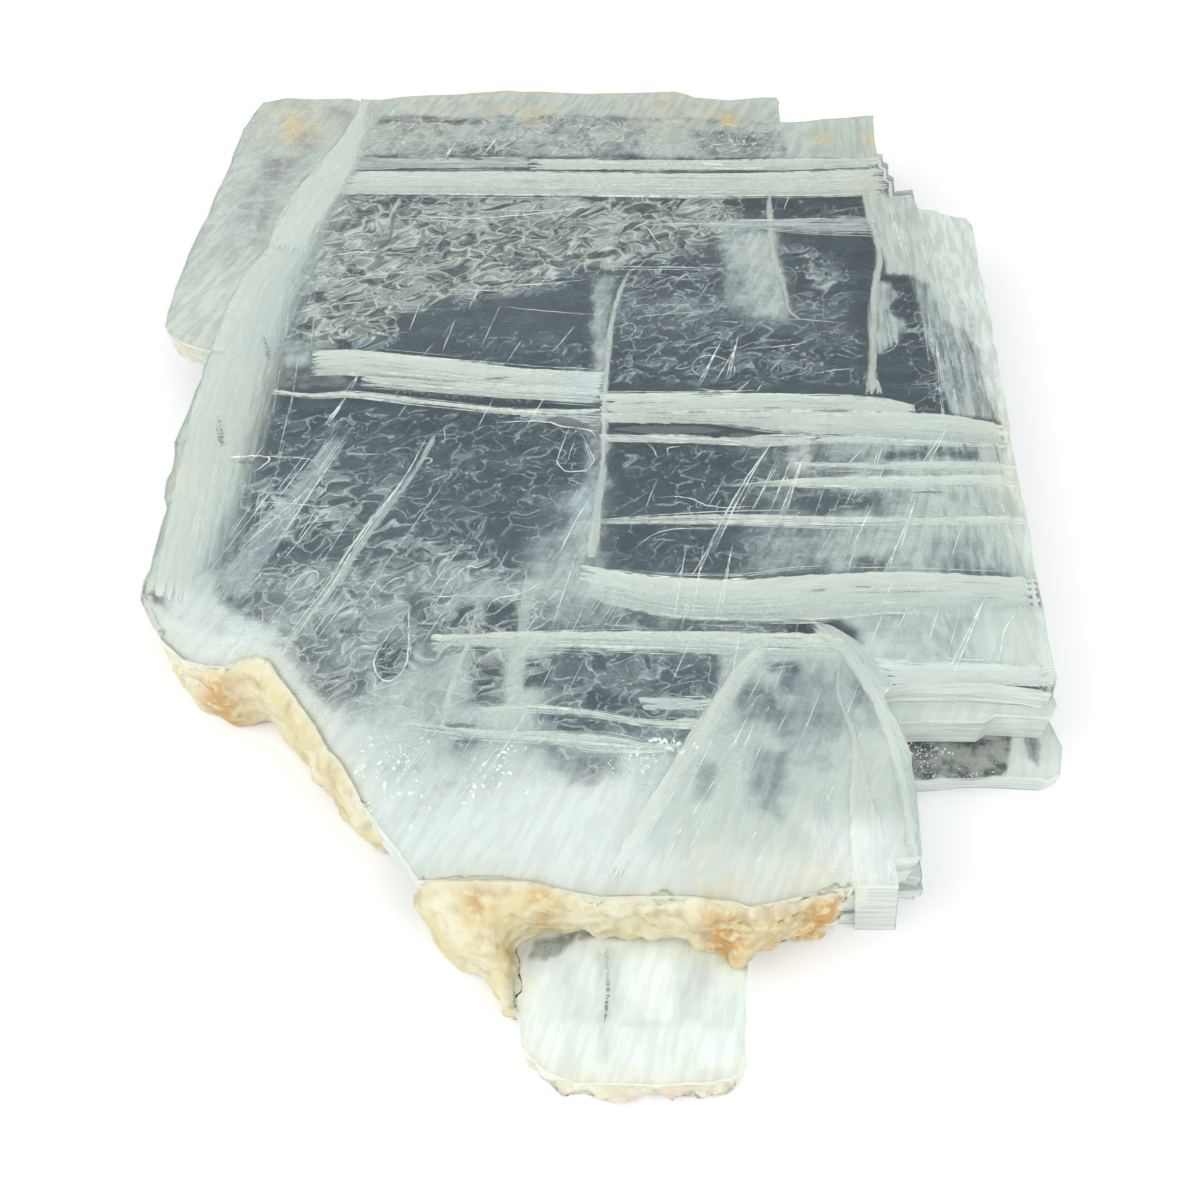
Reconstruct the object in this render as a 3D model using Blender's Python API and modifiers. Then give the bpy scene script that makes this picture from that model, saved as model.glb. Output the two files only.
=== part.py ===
"""A selenite slab: one stepped plate of clear gypsum with patches of lumpy matrix crust on its broken edges.

Drawing units are millimetres in plan (x right, y away from the front) and the solids are in metres.
The crystal is a stack of cleavage sheets, each a flat prism with its own ragged outline, fused in one solid.
The crusts are heaps of lumps moulded against the crystal's walls, with a hairline gap.
"""

import math
import random

import bmesh
import bpy
from mathutils import Matrix, Vector, noise

MM = 0.001

# Driving dimensions, mm: the box in plan, and the heights of the main cleavage steps
SLAB_LEFT = -175.0
SLAB_RIGHT = 161.0
SLAB_FRONT = -152.3
SLAB_BACK = 303.5
SLAB_HEIGHT = 34.0
BASE_TOP = 9.0          # the sheet that runs out in front as a tab and a shelf
WING_BOTTOM = 23.0      # the sheet that runs out at the back left, clear of the floor
WING_TOP = 33.2
CENTRE_X = (SLAB_LEFT + SLAB_RIGHT) / 2
CENTRE_Y = (SLAB_FRONT + SLAB_BACK) / 2

EDGE_STEP = 11.0        # spacing of the nicks along a broken edge
CRUST_GAP = 0.3         # between a crust and the crystal it sits on
CRUST_VOXEL = 2.1
CRUST_ROUGHNESS = 1.4
CRUST_FACES = 0.32      # share of the moulded faces that is kept
LUMP_SPACING = 4.0
LUMP_TOP = 32.6         # no lump rises above this, so the crusts end just under the top face
FLOOR_CUT_DEPTH = 20.0

CRYSTAL_COLOUR = (0.60, 0.68, 0.66)
CRUST_COLOUR = (0.78, 0.70, 0.46)
TIP_COLOUR = (0.74, 0.64, 0.50)

# Stretches of the slab's edge seen from above, in order round the slab from the left corner, mm
LOWER_LEFT = [(-154, 8), (-153.5, 0), (-147, -11), (-141, -18), (-134, -24), (-127, -26), (-120, -26.5),
              (-115, -24), (-110, -23), (-106, -25), (-103, -30), (-98, -36), (-92, -44), (-88, -49),
              (-83, -57), (-76, -66), (-70, -76), (-62, -86), (-60, -88), (-52, -99)]
LOWER_LEFT_UNDERCUT = [(-150, 12), (-147, 2), (-142, -6), (-136, -13), (-128, -21), (-118, -24), (-109, -23),
                       (-103, -28), (-98, -34), (-92, -42), (-85, -52), (-78, -61), (-70, -71), (-62, -78),
                       (-53, -83), (-46, -94)]
FRONT = [(-20, -99), (-10, -102), (0, -104), (30, -104), (42, -107), (50, -105.5), (60, -103), (72, -101)]
SPLINTER = [(73, -99.5), (84, -99.5), (85, -92.5)]
TONGUE = [(93, -91.5), (94.5, -72), (95, -58), (93, -48), (90, -40), (89.5, -34.5)]
TONGUE_FOOT = [(98.7, -91.5), (98.8, -80), (98.2, -68), (97, -55), (93, -45), (91.5, -37)]
RIGHT_FRONT = [(97, -33), (110, -33), (130, -34), (143.5, -36), (146, -30)]
RIGHT = [(146.4, -20), (147.9, 5), (150, 30), (153.2, 80), (156.2, 120), (158.8, 160), (159.5, 180),
         (SLAB_RIGHT, 201), (159, 206)]
RIGHT_STAIRS = [(154.5, 207), (148, 209.5), (147.5, 211.5), (140, 212), (138.5, 215), (138.5, 225),
                (130.5, 223.5), (131.5, 234), (129.5, 236), (130.5, 244), (128.5, 246), (129, 251.5),
                (126.5, 252), (129, 282.5)]
BACK = [(105, 279.5), (97, 277.5), (84.5, 277), (85.5, 293), (84.5, 297.5), (77, 297.5), (62, 295),
        (45, 297.5), (42, 300), (36, 302.5), (0, 301), (-45, SLAB_BACK), (-60, 301.5), (-80, 299.5),
        (-95, 298), (-105, 295.5), (-112, 296)]
UPPER_LEFT = [(-114, 297), (-119, 270), (-126, 250), (-134, 230), (-139, 205), (-143, 180), (-148, 172),
              (-151, 150), (-153, 130)]
UPPER_LEFT_UNDER_WING = [(-117, 296), (-121, 277), (-128, 257), (-136, 237), (-141, 212), (-146, 186),
                         (-151, 160), (-154, 130)]
LEFT = [(-154, 112), (-155, 90), (-157, 72), (-155.5, 65), (-155, 58), (-156, 53), (-155, 45), (-153, 40)]

# Sheets that reach out past the slab's edge, mm
WING = [(-100, 290), (-120, 298), (-133, 297.5), (-150, 298.5), (-161, 295), (-164, 285), (-167, 272),
        (-168, 250), (-170, 225), (-172, 200), (-174, 180), (SLAB_LEFT, 160), (SLAB_LEFT, 145),
        (-174.3, 136), (-171, 130.5), (-165.5, 126.5), (-159, 123.5), (-153, 121.5), (-130, 121)]
FAN = [(-140, 185), (-148, 172), (-158, 160.5), (-168, 149), (-171.5, 141), (-170, 134), (-153, 124),
       (-130, 124)]
TAB = [(-34, -85), (-31, -101), (-27, -113), (-24.5, -127), (-22.5, -138), (-16, -144.5), (-7, -148),
       (15, -148.5), (30, -148), (37, -146.5), (41, -143.5), (42, -130), (43.5, -115), (44, -85)]
SHELF = [(80, -20), (88, -54.5), (104, -54.5), (128, -53), (145, -54), (149.5, -52), (152.5, -42),
         (151, -35), (149, -26), (140, -10)]
SHELF_STEP = [(80, -20), (90, -39), (96, -40.5), (124, -40), (128, -37.5), (145.5, -38.5), (148.5, -34),
              (147, -22), (140, -10)]
SPLINTER_ROD = [(72.3, -85), (72.5, -100.4), (85, -100.4), (84.6, -80)]
SPLINTER_LEAN = 0.17    # how far the rod's foot is to the right of its top, per mm of height
RIGHT_TERRACE = [(139, 230), (138.5, 196), (143, 160), (146, 120), (147.5, 80), (144, 42), (143.5, 8),
                 (141, -22), (139, -50), (175, -50), (175, 230)]

# Crusts: a path along the wall, with the radius of the lumps at each point, mm
LEFT_CRUST = [(-151, 6, 4.0), (-147, -4, 4.6), (-139, -13, 6.0), (-131, -19, 8.0), (-123, -22, 8.6),
              (-115, -21, 8.8), (-108, -21.5, 8.8), (-100, -30, 8.4), (-92, -40, 7.6), (-85, -50, 7.0),
              (-78, -60, 6.6), (-72, -69.5, 5.4), (-68.5, -74, 4.2)]
FRONT_CRUST = [(-49, -97, 5.6), (-43, -99, 8.4), (-36, -100, 9.6), (-28, -100, 8.6), (-20, -99, 6.4),
               (-10, -101, 5.2), (0, -102.5, 5.0), (12, -102.5, 5.0), (24, -103, 5.2), (34, -104.5, 6.4),
               (42, -105.5, 5.8), (50, -104, 5.2), (60, -101.5, 4.7), (69, -99.3, 4.2)]
FRONT_CRUST_LEFT = FRONT_CRUST[:5]
FRONT_CRUST_RIGHT = FRONT_CRUST[-4:]
FRONT_CRUST_FOOT = [(-44, -103, 7.4), (-37, -107, 8.2), (-31, -112, 6.8), (-27, -120, 5.0),
                    (-25, -126.5, 3.8)]
FRONT_CRUST_BLOCK = [(40.5, -109, 5.6), (40, -112.5, 4.8)]
TIP_CRUST = [(-21, -138.5, 3.2), (-15, -143.5, 3.9), (-7, -147, 4.3), (3, -147.6, 3.9), (12, -147.7, 3.7),
             (21, -147.4, 3.8), (30, -146.6, 3.9), (36, -145, 3.8)]


def new_collection(name):
    collection = bpy.data.collections.new(name)
    bpy.context.scene.collection.children.link(collection)
    return collection


def material(name, colour, roughness, transmission=0.0):
    made = bpy.data.materials.new(name)
    made.use_nodes = True
    shader = made.node_tree.nodes["Principled BSDF"]
    shader.inputs["Base Color"].default_value = (*colour, 1.0)
    shader.inputs["Roughness"].default_value = roughness
    shader.inputs["Metallic"].default_value = 0.0
    shader.inputs["Transmission Weight"].default_value = transmission
    made.diffuse_color = (*colour, 1.0)
    return made


def ragged(outline, amount, seed):
    """The outline with nicks: extra points along its long edges, each a little in or out."""
    draw = random.Random(seed)
    result = []
    for (x0, y0), (x1, y1) in zip(outline, outline[1:] + outline[:1]):
        result.append((x0, y0))
        length = math.hypot(x1 - x0, y1 - y0)
        count = int(length / EDGE_STEP)
        for k in range(count):
            along = (k + 0.5 + draw.uniform(-0.3, 0.3)) / count
            nick = draw.uniform(-amount, 0.25 * amount)
            across = ((y1 - y0) / length * nick, (x0 - x1) / length * nick)
            result.append((x0 + (x1 - x0) * along + across[0], y0 + (y1 - y0) * along + across[1]))
    return result


def grown(outline, distance):
    """The outline moved outward by a distance, with mitred corners. The outline runs anticlockwise."""
    result = []
    for before, here, after in zip(outline[-1:] + outline[:-1], outline, outline[1:] + outline[:1]):
        into = (Vector(here) - Vector(before)).normalized()
        out_of = (Vector(after) - Vector(here)).normalized()
        normal = Vector((into.y + out_of.y, -into.x - out_of.x)).normalized()
        mitre = min(2.0, 1.0 / max(0.1, normal.dot(Vector((into.y, -into.x)))))
        result.append((here[0] + normal.x * distance * mitre, here[1] + normal.y * distance * mitre))
    return result


def anticlockwise(outline):
    area = sum(x0 * y1 - x1 * y0 for (x0, y0), (x1, y1) in zip(outline, outline[1:] + outline[:1]))
    return outline if area > 0 else outline[::-1]


def prism(name, outline, low, high, collection, lean=0.0):
    """A flat sheet: the outline between two heights, all in mm, as a mesh object in metres.

    A leaning sheet's foot is further right than its top, by the lean times the height below it."""
    curve = bpy.data.curves.new(name, "CURVE")
    curve.dimensions = "2D"
    curve.fill_mode = "BOTH"
    curve.extrude = (high - low) / 2 * MM
    spline = curve.splines.new("POLY")
    spline.points.add(len(outline) - 1)
    for point, (x, y) in zip(spline.points, outline):
        point.co = ((x - CENTRE_X) * MM, (y - CENTRE_Y) * MM, 0.0, 1.0)
    spline.use_cyclic_u = True
    flat = bpy.data.objects.new(name + "_outline", curve)
    flat.location.z = (high + low) / 2 * MM
    bpy.context.scene.collection.objects.link(flat)
    mesh = evaluated_mesh(flat)
    mesh.transform(flat.matrix_world)
    for vertex in mesh.vertices:
        vertex.co.x += (high * MM - vertex.co.z) * lean
    bpy.data.objects.remove(flat)
    bpy.data.curves.remove(curve)
    welded = bmesh.new()
    welded.from_mesh(mesh)
    bmesh.ops.remove_doubles(welded, verts=welded.verts, dist=0.00001)
    bmesh.ops.recalc_face_normals(welded, faces=welded.faces)
    welded.to_mesh(mesh)
    welded.free()
    sheet = bpy.data.objects.new(name, mesh)
    collection.objects.link(sheet)
    return sheet


def hide_cutters(collection):
    for cutter in collection.objects:
        cutter.hide_render = True
        cutter.display_type = "WIRE"


def add_boolean(piece, operation, collection):
    boolean = piece.modifiers.new(operation.title(), "BOOLEAN")
    boolean.operation = operation
    boolean.solver = "EXACT"
    boolean.operand_type = "COLLECTION"
    boolean.collection = collection


def slab_sheets():
    """Name, outline, bottom and top of each cleavage sheet of the crystal, mm."""
    wall = FRONT + SPLINTER + TONGUE + RIGHT_FRONT + RIGHT + RIGHT_STAIRS + BACK
    foot = FRONT + SPLINTER + TONGUE_FOOT + RIGHT_FRONT + RIGHT + RIGHT_STAIRS + BACK
    upper = LOWER_LEFT + wall + UPPER_LEFT + LEFT
    middle = LOWER_LEFT + wall + UPPER_LEFT_UNDER_WING + LEFT
    lower = LOWER_LEFT_UNDERCUT + foot + UPPER_LEFT_UNDER_WING + LEFT
    return [
        ("sheet_1", ragged(grown(lower, -0.9), 1.3, 1), 0.0, 4.6),
        ("sheet_2", ragged(lower, 1.0, 2), 4.6, BASE_TOP),
        ("sheet_3", ragged(grown(lower, -1.4), 1.5, 3), BASE_TOP, 15.5),
        ("sheet_4", ragged(grown(middle, -0.5), 1.0, 4), 15.5, WING_BOTTOM),
        ("sheet_5", ragged(grown(middle, -1.6), 1.2, 5), WING_BOTTOM, 28.2),
        ("sheet_6", ragged(upper, 0.8, 6), 28.2, SLAB_HEIGHT),
        ("wing_under", ragged(grown(anticlockwise(WING), -0.6), 1.0, 7), WING_BOTTOM, 27.8),
        ("wing", ragged(anticlockwise(WING), 0.8, 8), 27.6, WING_TOP),
        ("fan", anticlockwise(FAN), 30.0, WING_TOP + 0.4),
        ("tab", ragged(anticlockwise(TAB), 0.6, 9), 0.4, BASE_TOP),
        ("tab_sole", grown(anticlockwise(TAB), -1.2), 0.0, 4.0),
        ("shelf", ragged(anticlockwise(SHELF), 0.7, 10), 3.2, BASE_TOP),
        ("shelf_sole", ragged(grown(anticlockwise(SHELF), -0.9), 0.8, 11), 0.0, 3.2),
        ("shelf_step", ragged(anticlockwise(SHELF_STEP), 0.6, 12), 8.0, 22.4),
    ]


def build_crystal(parts, cutters):
    sheets = new_collection("slab_sheets")
    rows = slab_sheets()
    for name, outline, low, high in rows[1:]:
        prism(name, outline, low, high, sheets)
    prism("splinter", anticlockwise(SPLINTER_ROD), 0.0, SLAB_HEIGHT - 0.3, sheets, SPLINTER_LEAN)
    name, outline, low, high = rows[0]
    crystal = prism("selenite_slab", outline, low, high, parts)
    add_boolean(crystal, "UNION", sheets)
    prism("terrace_cut", anticlockwise(RIGHT_TERRACE), SLAB_HEIGHT - 1.1, SLAB_HEIGHT + 5, cutters)
    add_boolean(crystal, "DIFFERENCE", cutters)
    flat = crystal.modifiers.new("Flat faces", "DECIMATE")
    flat.decimate_type = "DISSOLVE"
    flat.angle_limit = math.radians(0.2)
    crystal.data.materials.append(material("selenite", CRYSTAL_COLOUR, 0.08, 1.0))
    return sheets


def build_envelope(name):
    """The crystal's sheets, each grown by the hairline gap: what the crusts are moulded against."""
    envelope = new_collection(name)
    for label, outline, low, high in slab_sheets():
        prism("envelope_" + label, grown(outline, CRUST_GAP), low - CRUST_GAP, high + CRUST_GAP, envelope)
    splinter = grown(anticlockwise(SPLINTER_ROD), CRUST_GAP)
    prism("envelope_splinter", splinter, 0.0, SLAB_HEIGHT, envelope, SPLINTER_LEAN)
    floor = [(SLAB_LEFT, SLAB_FRONT - 20), (SLAB_RIGHT, SLAB_FRONT - 20), (SLAB_RIGHT, SLAB_BACK),
             (SLAB_LEFT, SLAB_BACK)]
    prism("envelope_floor", floor, -FLOOR_CUT_DEPTH, 0.0, envelope)
    return envelope


def spaced(path):
    """The path's points and radii again, at even steps of about one lump spacing."""
    result = []
    for (x0, y0, r0), (x1, y1, r1) in zip(path, path[1:]):
        count = max(1, round(math.hypot(x1 - x0, y1 - y0) / LUMP_SPACING))
        result += [(x0 + (x1 - x0) * k / count, y0 + (y1 - y0) * k / count, r0 + (r1 - r0) * k / count)
                   for k in range(count)]
    return result + path[-1:]


def lump_rows(mesh, path, heights, draw):
    """Balls along the path at several heights, at random sizes. They overlap, so they mould into one body."""
    for x, y, radius in spaced(path):
        for height, share in heights:
            size = radius * share * draw.uniform(0.86, 1.14)
            middle = Vector((x - CENTRE_X + draw.uniform(-1, 1), y - CENTRE_Y + draw.uniform(-1, 1),
                             min(height, LUMP_TOP - size)))
            place = Matrix.Scale(MM, 4) @ Matrix.Translation(middle) @ Matrix.Scale(size, 4)
            bmesh.ops.create_icosphere(mesh, subdivisions=2, radius=1.0, matrix=place)


def evaluated_mesh(piece):
    bpy.context.view_layer.update()
    return bpy.data.meshes.new_from_object(piece.evaluated_get(bpy.context.evaluated_depsgraph_get()))


def moulded(heap):
    """One closed lumpy skin from a heap of balls, roughened along its normals."""
    work = bpy.data.objects.new("heap", heap)
    bpy.context.scene.collection.objects.link(work)
    remesh = work.modifiers.new("Remesh", "REMESH")
    remesh.mode = "VOXEL"
    remesh.voxel_size = CRUST_VOXEL * MM
    mesh = evaluated_mesh(work)
    bpy.data.objects.remove(work)
    normals = [vertex.normal.copy() for vertex in mesh.vertices]
    for vertex, normal in zip(mesh.vertices, normals):
        coarse = noise.noise(vertex.co / (9 * MM))
        fine = noise.noise(vertex.co / (3.6 * MM) + Vector((7, 3, 5)))
        vertex.co += normal * (coarse + 0.6 * fine) * CRUST_ROUGHNESS * MM
    return mesh


def largest_body(mesh):
    """Deletes the crumbs that the cut leaves, and keeps the one large body."""
    shape = bmesh.new()
    shape.from_mesh(mesh)
    bmesh.ops.remove_doubles(shape, verts=shape.verts, dist=0.00001)
    left = set(shape.verts)
    bodies = []
    while left:
        front = [left.pop()]
        body = set(front)
        while front:
            for edge in front.pop().link_edges:
                for vertex in edge.verts:
                    if vertex not in body:
                        body.add(vertex)
                        front.append(vertex)
        left -= body
        bodies.append(body)
    keep = max(bodies, key=len)
    bmesh.ops.delete(shape, geom=[v for v in shape.verts if v not in keep], context="VERTS")
    bmesh.ops.triangulate(shape, faces=shape.faces)
    shape.to_mesh(mesh)
    shape.free()


def build_crust(name, rows, skin, seed, parts, envelope):
    """rows: (path, heights) pairs. The heap is moulded, thinned, and cut back to the walls and the floor."""
    draw = random.Random(seed)
    balls = bmesh.new()
    for path, heights in rows:
        lump_rows(balls, path, heights, draw)
    heap = bpy.data.meshes.new(name + "_heap")
    balls.to_mesh(heap)
    balls.free()
    work = bpy.data.objects.new(name + "_cutting", moulded(heap))
    parts.objects.link(work)
    thin = work.modifiers.new("Thin", "DECIMATE")
    thin.ratio = CRUST_FACES
    add_boolean(work, "DIFFERENCE", envelope)
    mesh = evaluated_mesh(work)
    bpy.data.objects.remove(work)
    largest_body(mesh)
    mesh.name = name
    mesh.materials.clear()
    mesh.materials.append(skin)
    mesh.shade_smooth()
    mesh.set_sharp_from_angle(angle=math.radians(35))
    parts.objects.link(bpy.data.objects.new(name, mesh))


def main():
    for old in list(bpy.data.objects):
        bpy.data.objects.remove(old, do_unlink=True)
    parts = new_collection("selenite slab")
    cutters = new_collection("cutters")
    sheets = build_crystal(parts, cutters)
    envelope = build_envelope("crust_envelope")
    full_wall = [(3, 0.95), (9, 1.0), (15, 1.0), (21, 1.0), (27, 0.9)]
    upper_wall = [(13, 1.0), (18, 1.0), (23, 1.0), (28, 0.85)]
    foot = [(3, 1.0), (8, 0.9)]
    lump = [(13, 0.95), (20, 0.8)]
    tip = [(2.5, 1.0), (5, 0.8)]
    cream = material("crust", CRUST_COLOUR, 0.9)
    build_crust("left_crust", [(LEFT_CRUST, full_wall)], cream, 21, parts, envelope)
    build_crust("front_crust", [(FRONT_CRUST, upper_wall), (FRONT_CRUST_LEFT, foot), (FRONT_CRUST_RIGHT, foot),
                                (FRONT_CRUST_FOOT, foot), (FRONT_CRUST_FOOT[:3], lump),
                                (FRONT_CRUST_BLOCK, [(13, 1.0)])], cream, 22, parts, envelope)
    build_crust("tip_crust", [(TIP_CRUST, tip)], material("tip_crust", TIP_COLOUR, 0.9), 23, parts, envelope)
    for collection in (sheets, cutters, envelope):
        hide_cutters(collection)


main()
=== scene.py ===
"""A selenite slab: a clear, stepped cleavage plate with pale bands, veils and needles inside and cream crusts.

Plan points are millimetres on the slab's top face (x right, y away from the front), as someone standing at the
front sees them. A feature inside the crystal is listed by the plan point where it shows and its depth, and
seen_at() follows the bent line of sight down to it. Everything built is in metres, in the row frame.
"""

import math
import random

import bmesh
import bpy
import numpy as np
from bpy.props import FloatProperty, FloatVectorProperty, IntProperty, PointerProperty
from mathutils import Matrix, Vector, noise
from mathutils.bvhtree import BVHTree
from mathutils.geometry import delaunay_2d_cdt


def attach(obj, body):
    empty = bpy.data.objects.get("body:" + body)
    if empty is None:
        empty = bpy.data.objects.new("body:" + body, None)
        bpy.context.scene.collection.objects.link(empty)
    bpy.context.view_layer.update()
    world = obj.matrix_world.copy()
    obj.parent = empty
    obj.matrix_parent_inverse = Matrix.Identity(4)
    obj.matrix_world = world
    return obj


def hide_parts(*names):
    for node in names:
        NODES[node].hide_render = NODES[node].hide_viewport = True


bl_info = {
    "name": "Selenite Slab",
    "version": (1, 0, 0),
    "blender": (4, 5, 0),
    "location": "View3D > Sidebar > Selenite",
    "description": "Builds a clear selenite slab with its inner veils and matrix crusts",
    "category": "Add Mesh",
}

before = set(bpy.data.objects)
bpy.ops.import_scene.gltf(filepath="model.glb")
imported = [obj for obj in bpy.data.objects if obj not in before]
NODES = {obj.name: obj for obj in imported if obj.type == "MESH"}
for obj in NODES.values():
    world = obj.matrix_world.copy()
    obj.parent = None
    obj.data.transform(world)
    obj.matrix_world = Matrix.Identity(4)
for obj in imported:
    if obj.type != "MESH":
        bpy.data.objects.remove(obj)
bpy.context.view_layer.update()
MM = 0.001
BODY = "root"

# The plan's origin and the slab's heights, mm
CENTRE_X, CENTRE_Y = -7.0, 75.6
TOP, TERRACE_TOP, LOW_TOP = 34.0, 22.4, 9.0
EYE_X, EYE_Y, EYE_HEIGHT = 0.0, -235.1, 323.6
SIGHT_IOR = 1.52

# Haze: its streaks stand upright right of the first x and it is calm before the second y; depth of the low sheets,
# and how much crystal they and the deep cloud may have above them, mm
UPRIGHT_FROM, CALM_BEFORE = 103, 24
LOW_DEPTH, LOW_COVER, CLOUD_COVER = 0.8, 1.5, 26

# Frost: walls are steeper than this share of level, and the back of the slab, where they are stained, starts here, mm
WALL_SLOPE, STAINED_FROM = 0.7, 262

# Crusts: voxels that carry their skin, sizes of its lumps and cells, and how near the crystal the skin closes its
# seam, turns chalky and rises to the top face, mm
SKIN_VOXEL, LUMP_SIZE, CELL_SIZE = 0.8, 5.0, 2.2
CLOSING, CHALKY, RISING = 2.0, 2.6, 5.0
CRUST_TOP, RISEN_TOP = 33.9, 33.85

# Cleavage bands: edge away from the viewer, edge near the viewer, opacity, depths and softness of the two edges, mm
BANDS = [
    ([(-113, 250), (-80, 248.5), (-30, 248)], [(-115, 239), (-80, 240.5), (-30, 241)], 0.62, 0.6, 2.4, 1, 1),
    ([(-32, 248), (0, 247.5), (50, 247), (90, 248), (127, 249)],
     [(-32, 240), (0, 239.5), (50, 239.5), (80, 239), (127, 242)], 0.93, 0.6, 2.4, 0, 0),
    ([(-112, 238.8), (-50, 238.5), (0, 237.5), (60, 237), (90, 238), (128, 241)],
     [(-118, 222), (-80, 221.5), (-50, 221.5), (0, 221), (60, 220.5), (100, 220.5), (128, 221)], 0.97, 0.6, 2.4, 0, 0),
    ([(20, 202), (60, 203.5), (90, 205), (119, 205)], [(20, 199), (60, 198), (90, 195), (119, 194)],
     0.62, 1.0, 2.0, 2, 2),
    ([(-113, 121), (-100, 122), (-87, 120.5), (-60, 116.5), (-45, 113.5), (-30, 111), (-10, 110), (2, 108.5)],
     [(-112, 107), (-92, 107), (-60, 103), (-40, 100), (-20, 98), (2, 96)], 0.93, 0.6, 2.6, 0, 0),
    ([(-92, 107.5), (-60, 104.5), (-30, 101), (2, 100)], [(-92, 101.5), (-73, 99), (-46, 95.5), (0, 91.5)],
     0.86, 0.8, 3.0, 0, 0),
    ([(-125, 99.5), (-110, 96.8), (-95, 98.5), (-70, 94.3), (-50, 91.3), (-35, 89), (-15, 88.4), (0, 89)],
     [(-125, 97), (-110, 94.4), (-95, 95.6), (-70, 91.6), (-50, 88.6), (-35, 86.4), (-15, 85.4), (0, 85)],
     0.97, 0.5, 1.6, 0, 1),
    ([(-30, 87), (-15, 86), (0, 85)], [(-30, 83), (-18, 82), (0, 78)], 0.6, 0.8, 2.0, 0, 2),
    ([(0, 97.5), (40, 97.2), (72, 97.5), (80, 96), (105, 96), (119, 91)],
     [(0, 86.5), (40, 87), (80, 88.2), (100, 87.8), (118.5, 86.5)], 0.97, 0.6, 2.2, 0, 0),
    ([(0, 87), (40, 87.6), (80, 88.4), (120, 87), (132, 86), (140, 84), (152, 81)],
     [(0, 81.5), (45, 81.2), (62, 78), (80, 76), (110, 73), (152, 70)], 0.93, 0.6, 3.0, 0, 0.6),
    ([(0, 76), (30, 75.5), (47, 74.5), (62, 76), (80, 76)], [(0, 72), (30, 71.5), (55, 70), (80, 70)],
     0.84, 0.8, 2.5, 0.5, 0),
    ([(78, 76), (110, 73.5), (152, 71)], [(78, 70.5), (110, 70), (152, 68.5)], 0.9, 0.8, 2.5, 0, 1),
    ([(70, 62), (90, 61.8), (110, 62), (152, 62.8)], [(70, 60), (90, 59), (110, 58), (152, 57)],
     0.8, 0.6, 2.2, 0, 1),
    ([(45, 51), (70, 54), (90, 54.8), (120, 55.3), (152, 56.3)],
     [(45, 50), (70, 50), (90, 49), (120, 48.5), (152, 47)], 0.93, 0.6, 2.5, 0, 0.5),
    ([(-8, 34), (18, 36), (40, 37), (60, 37), (90, 35.7), (120, 36), (152, 37)],
     [(-8, 33), (18, 33), (40, 33), (60, 32.5), (90, 31.5), (120, 31.5), (152, 31)], 0.9, 0.6, 2.5, 0, 0.6),
    ([(-6, 15), (5, 12), (25, 9), (50, 8), (60, 10), (85, 11.5), (110, 12), (148, 9)],
     [(-8, 1), (5, -3), (25, -8), (50, -9.5), (75, -9), (95, -6), (120, -7), (148, -10)], 0.94, 0.6, 3.2, 0, 0.8),
    ([(-55, -14), (-15, -12.8), (20, -12.5), (50, -13), (78, -13.5)],
     [(-55, -19), (-15, -19.5), (20, -21), (50, -22), (82, -24)], 0.95, 0.5, 3.0, 0, 0.6),
    ([(12, -37.5), (22, -37.5), (35, -38)], [(14, -42.5), (24, -43), (34, -43.5)], 0.72, 0.8, 2.0, 1, 1),
    ([(-40, -41.5), (-20, -40), (0, -43), (15, -46), (34, -45)],
     [(-40, -44.5), (-20, -43.5), (0, -45.5), (15, -49), (33, -50)], 0.85, 0.8, 2.0, 0.6, 1),
    ([(-62, -46), (-40, -49), (-20, -50), (-4, -50), (5, -51), (15, -54), (26, -54)],
     [(-60, -50), (-40, -53), (-20, -54), (-4, -57.5), (5, -58), (15, -57.5), (22, -57)], 0.8, 0.8, 2.5, 1, 1.5),
    ([(88, -22), (110, -24), (147, -25)], [(90, -33), (110, -33), (145, -34)], 0.86, 0.4, 2.0, 1.5, 0),
]

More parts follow.
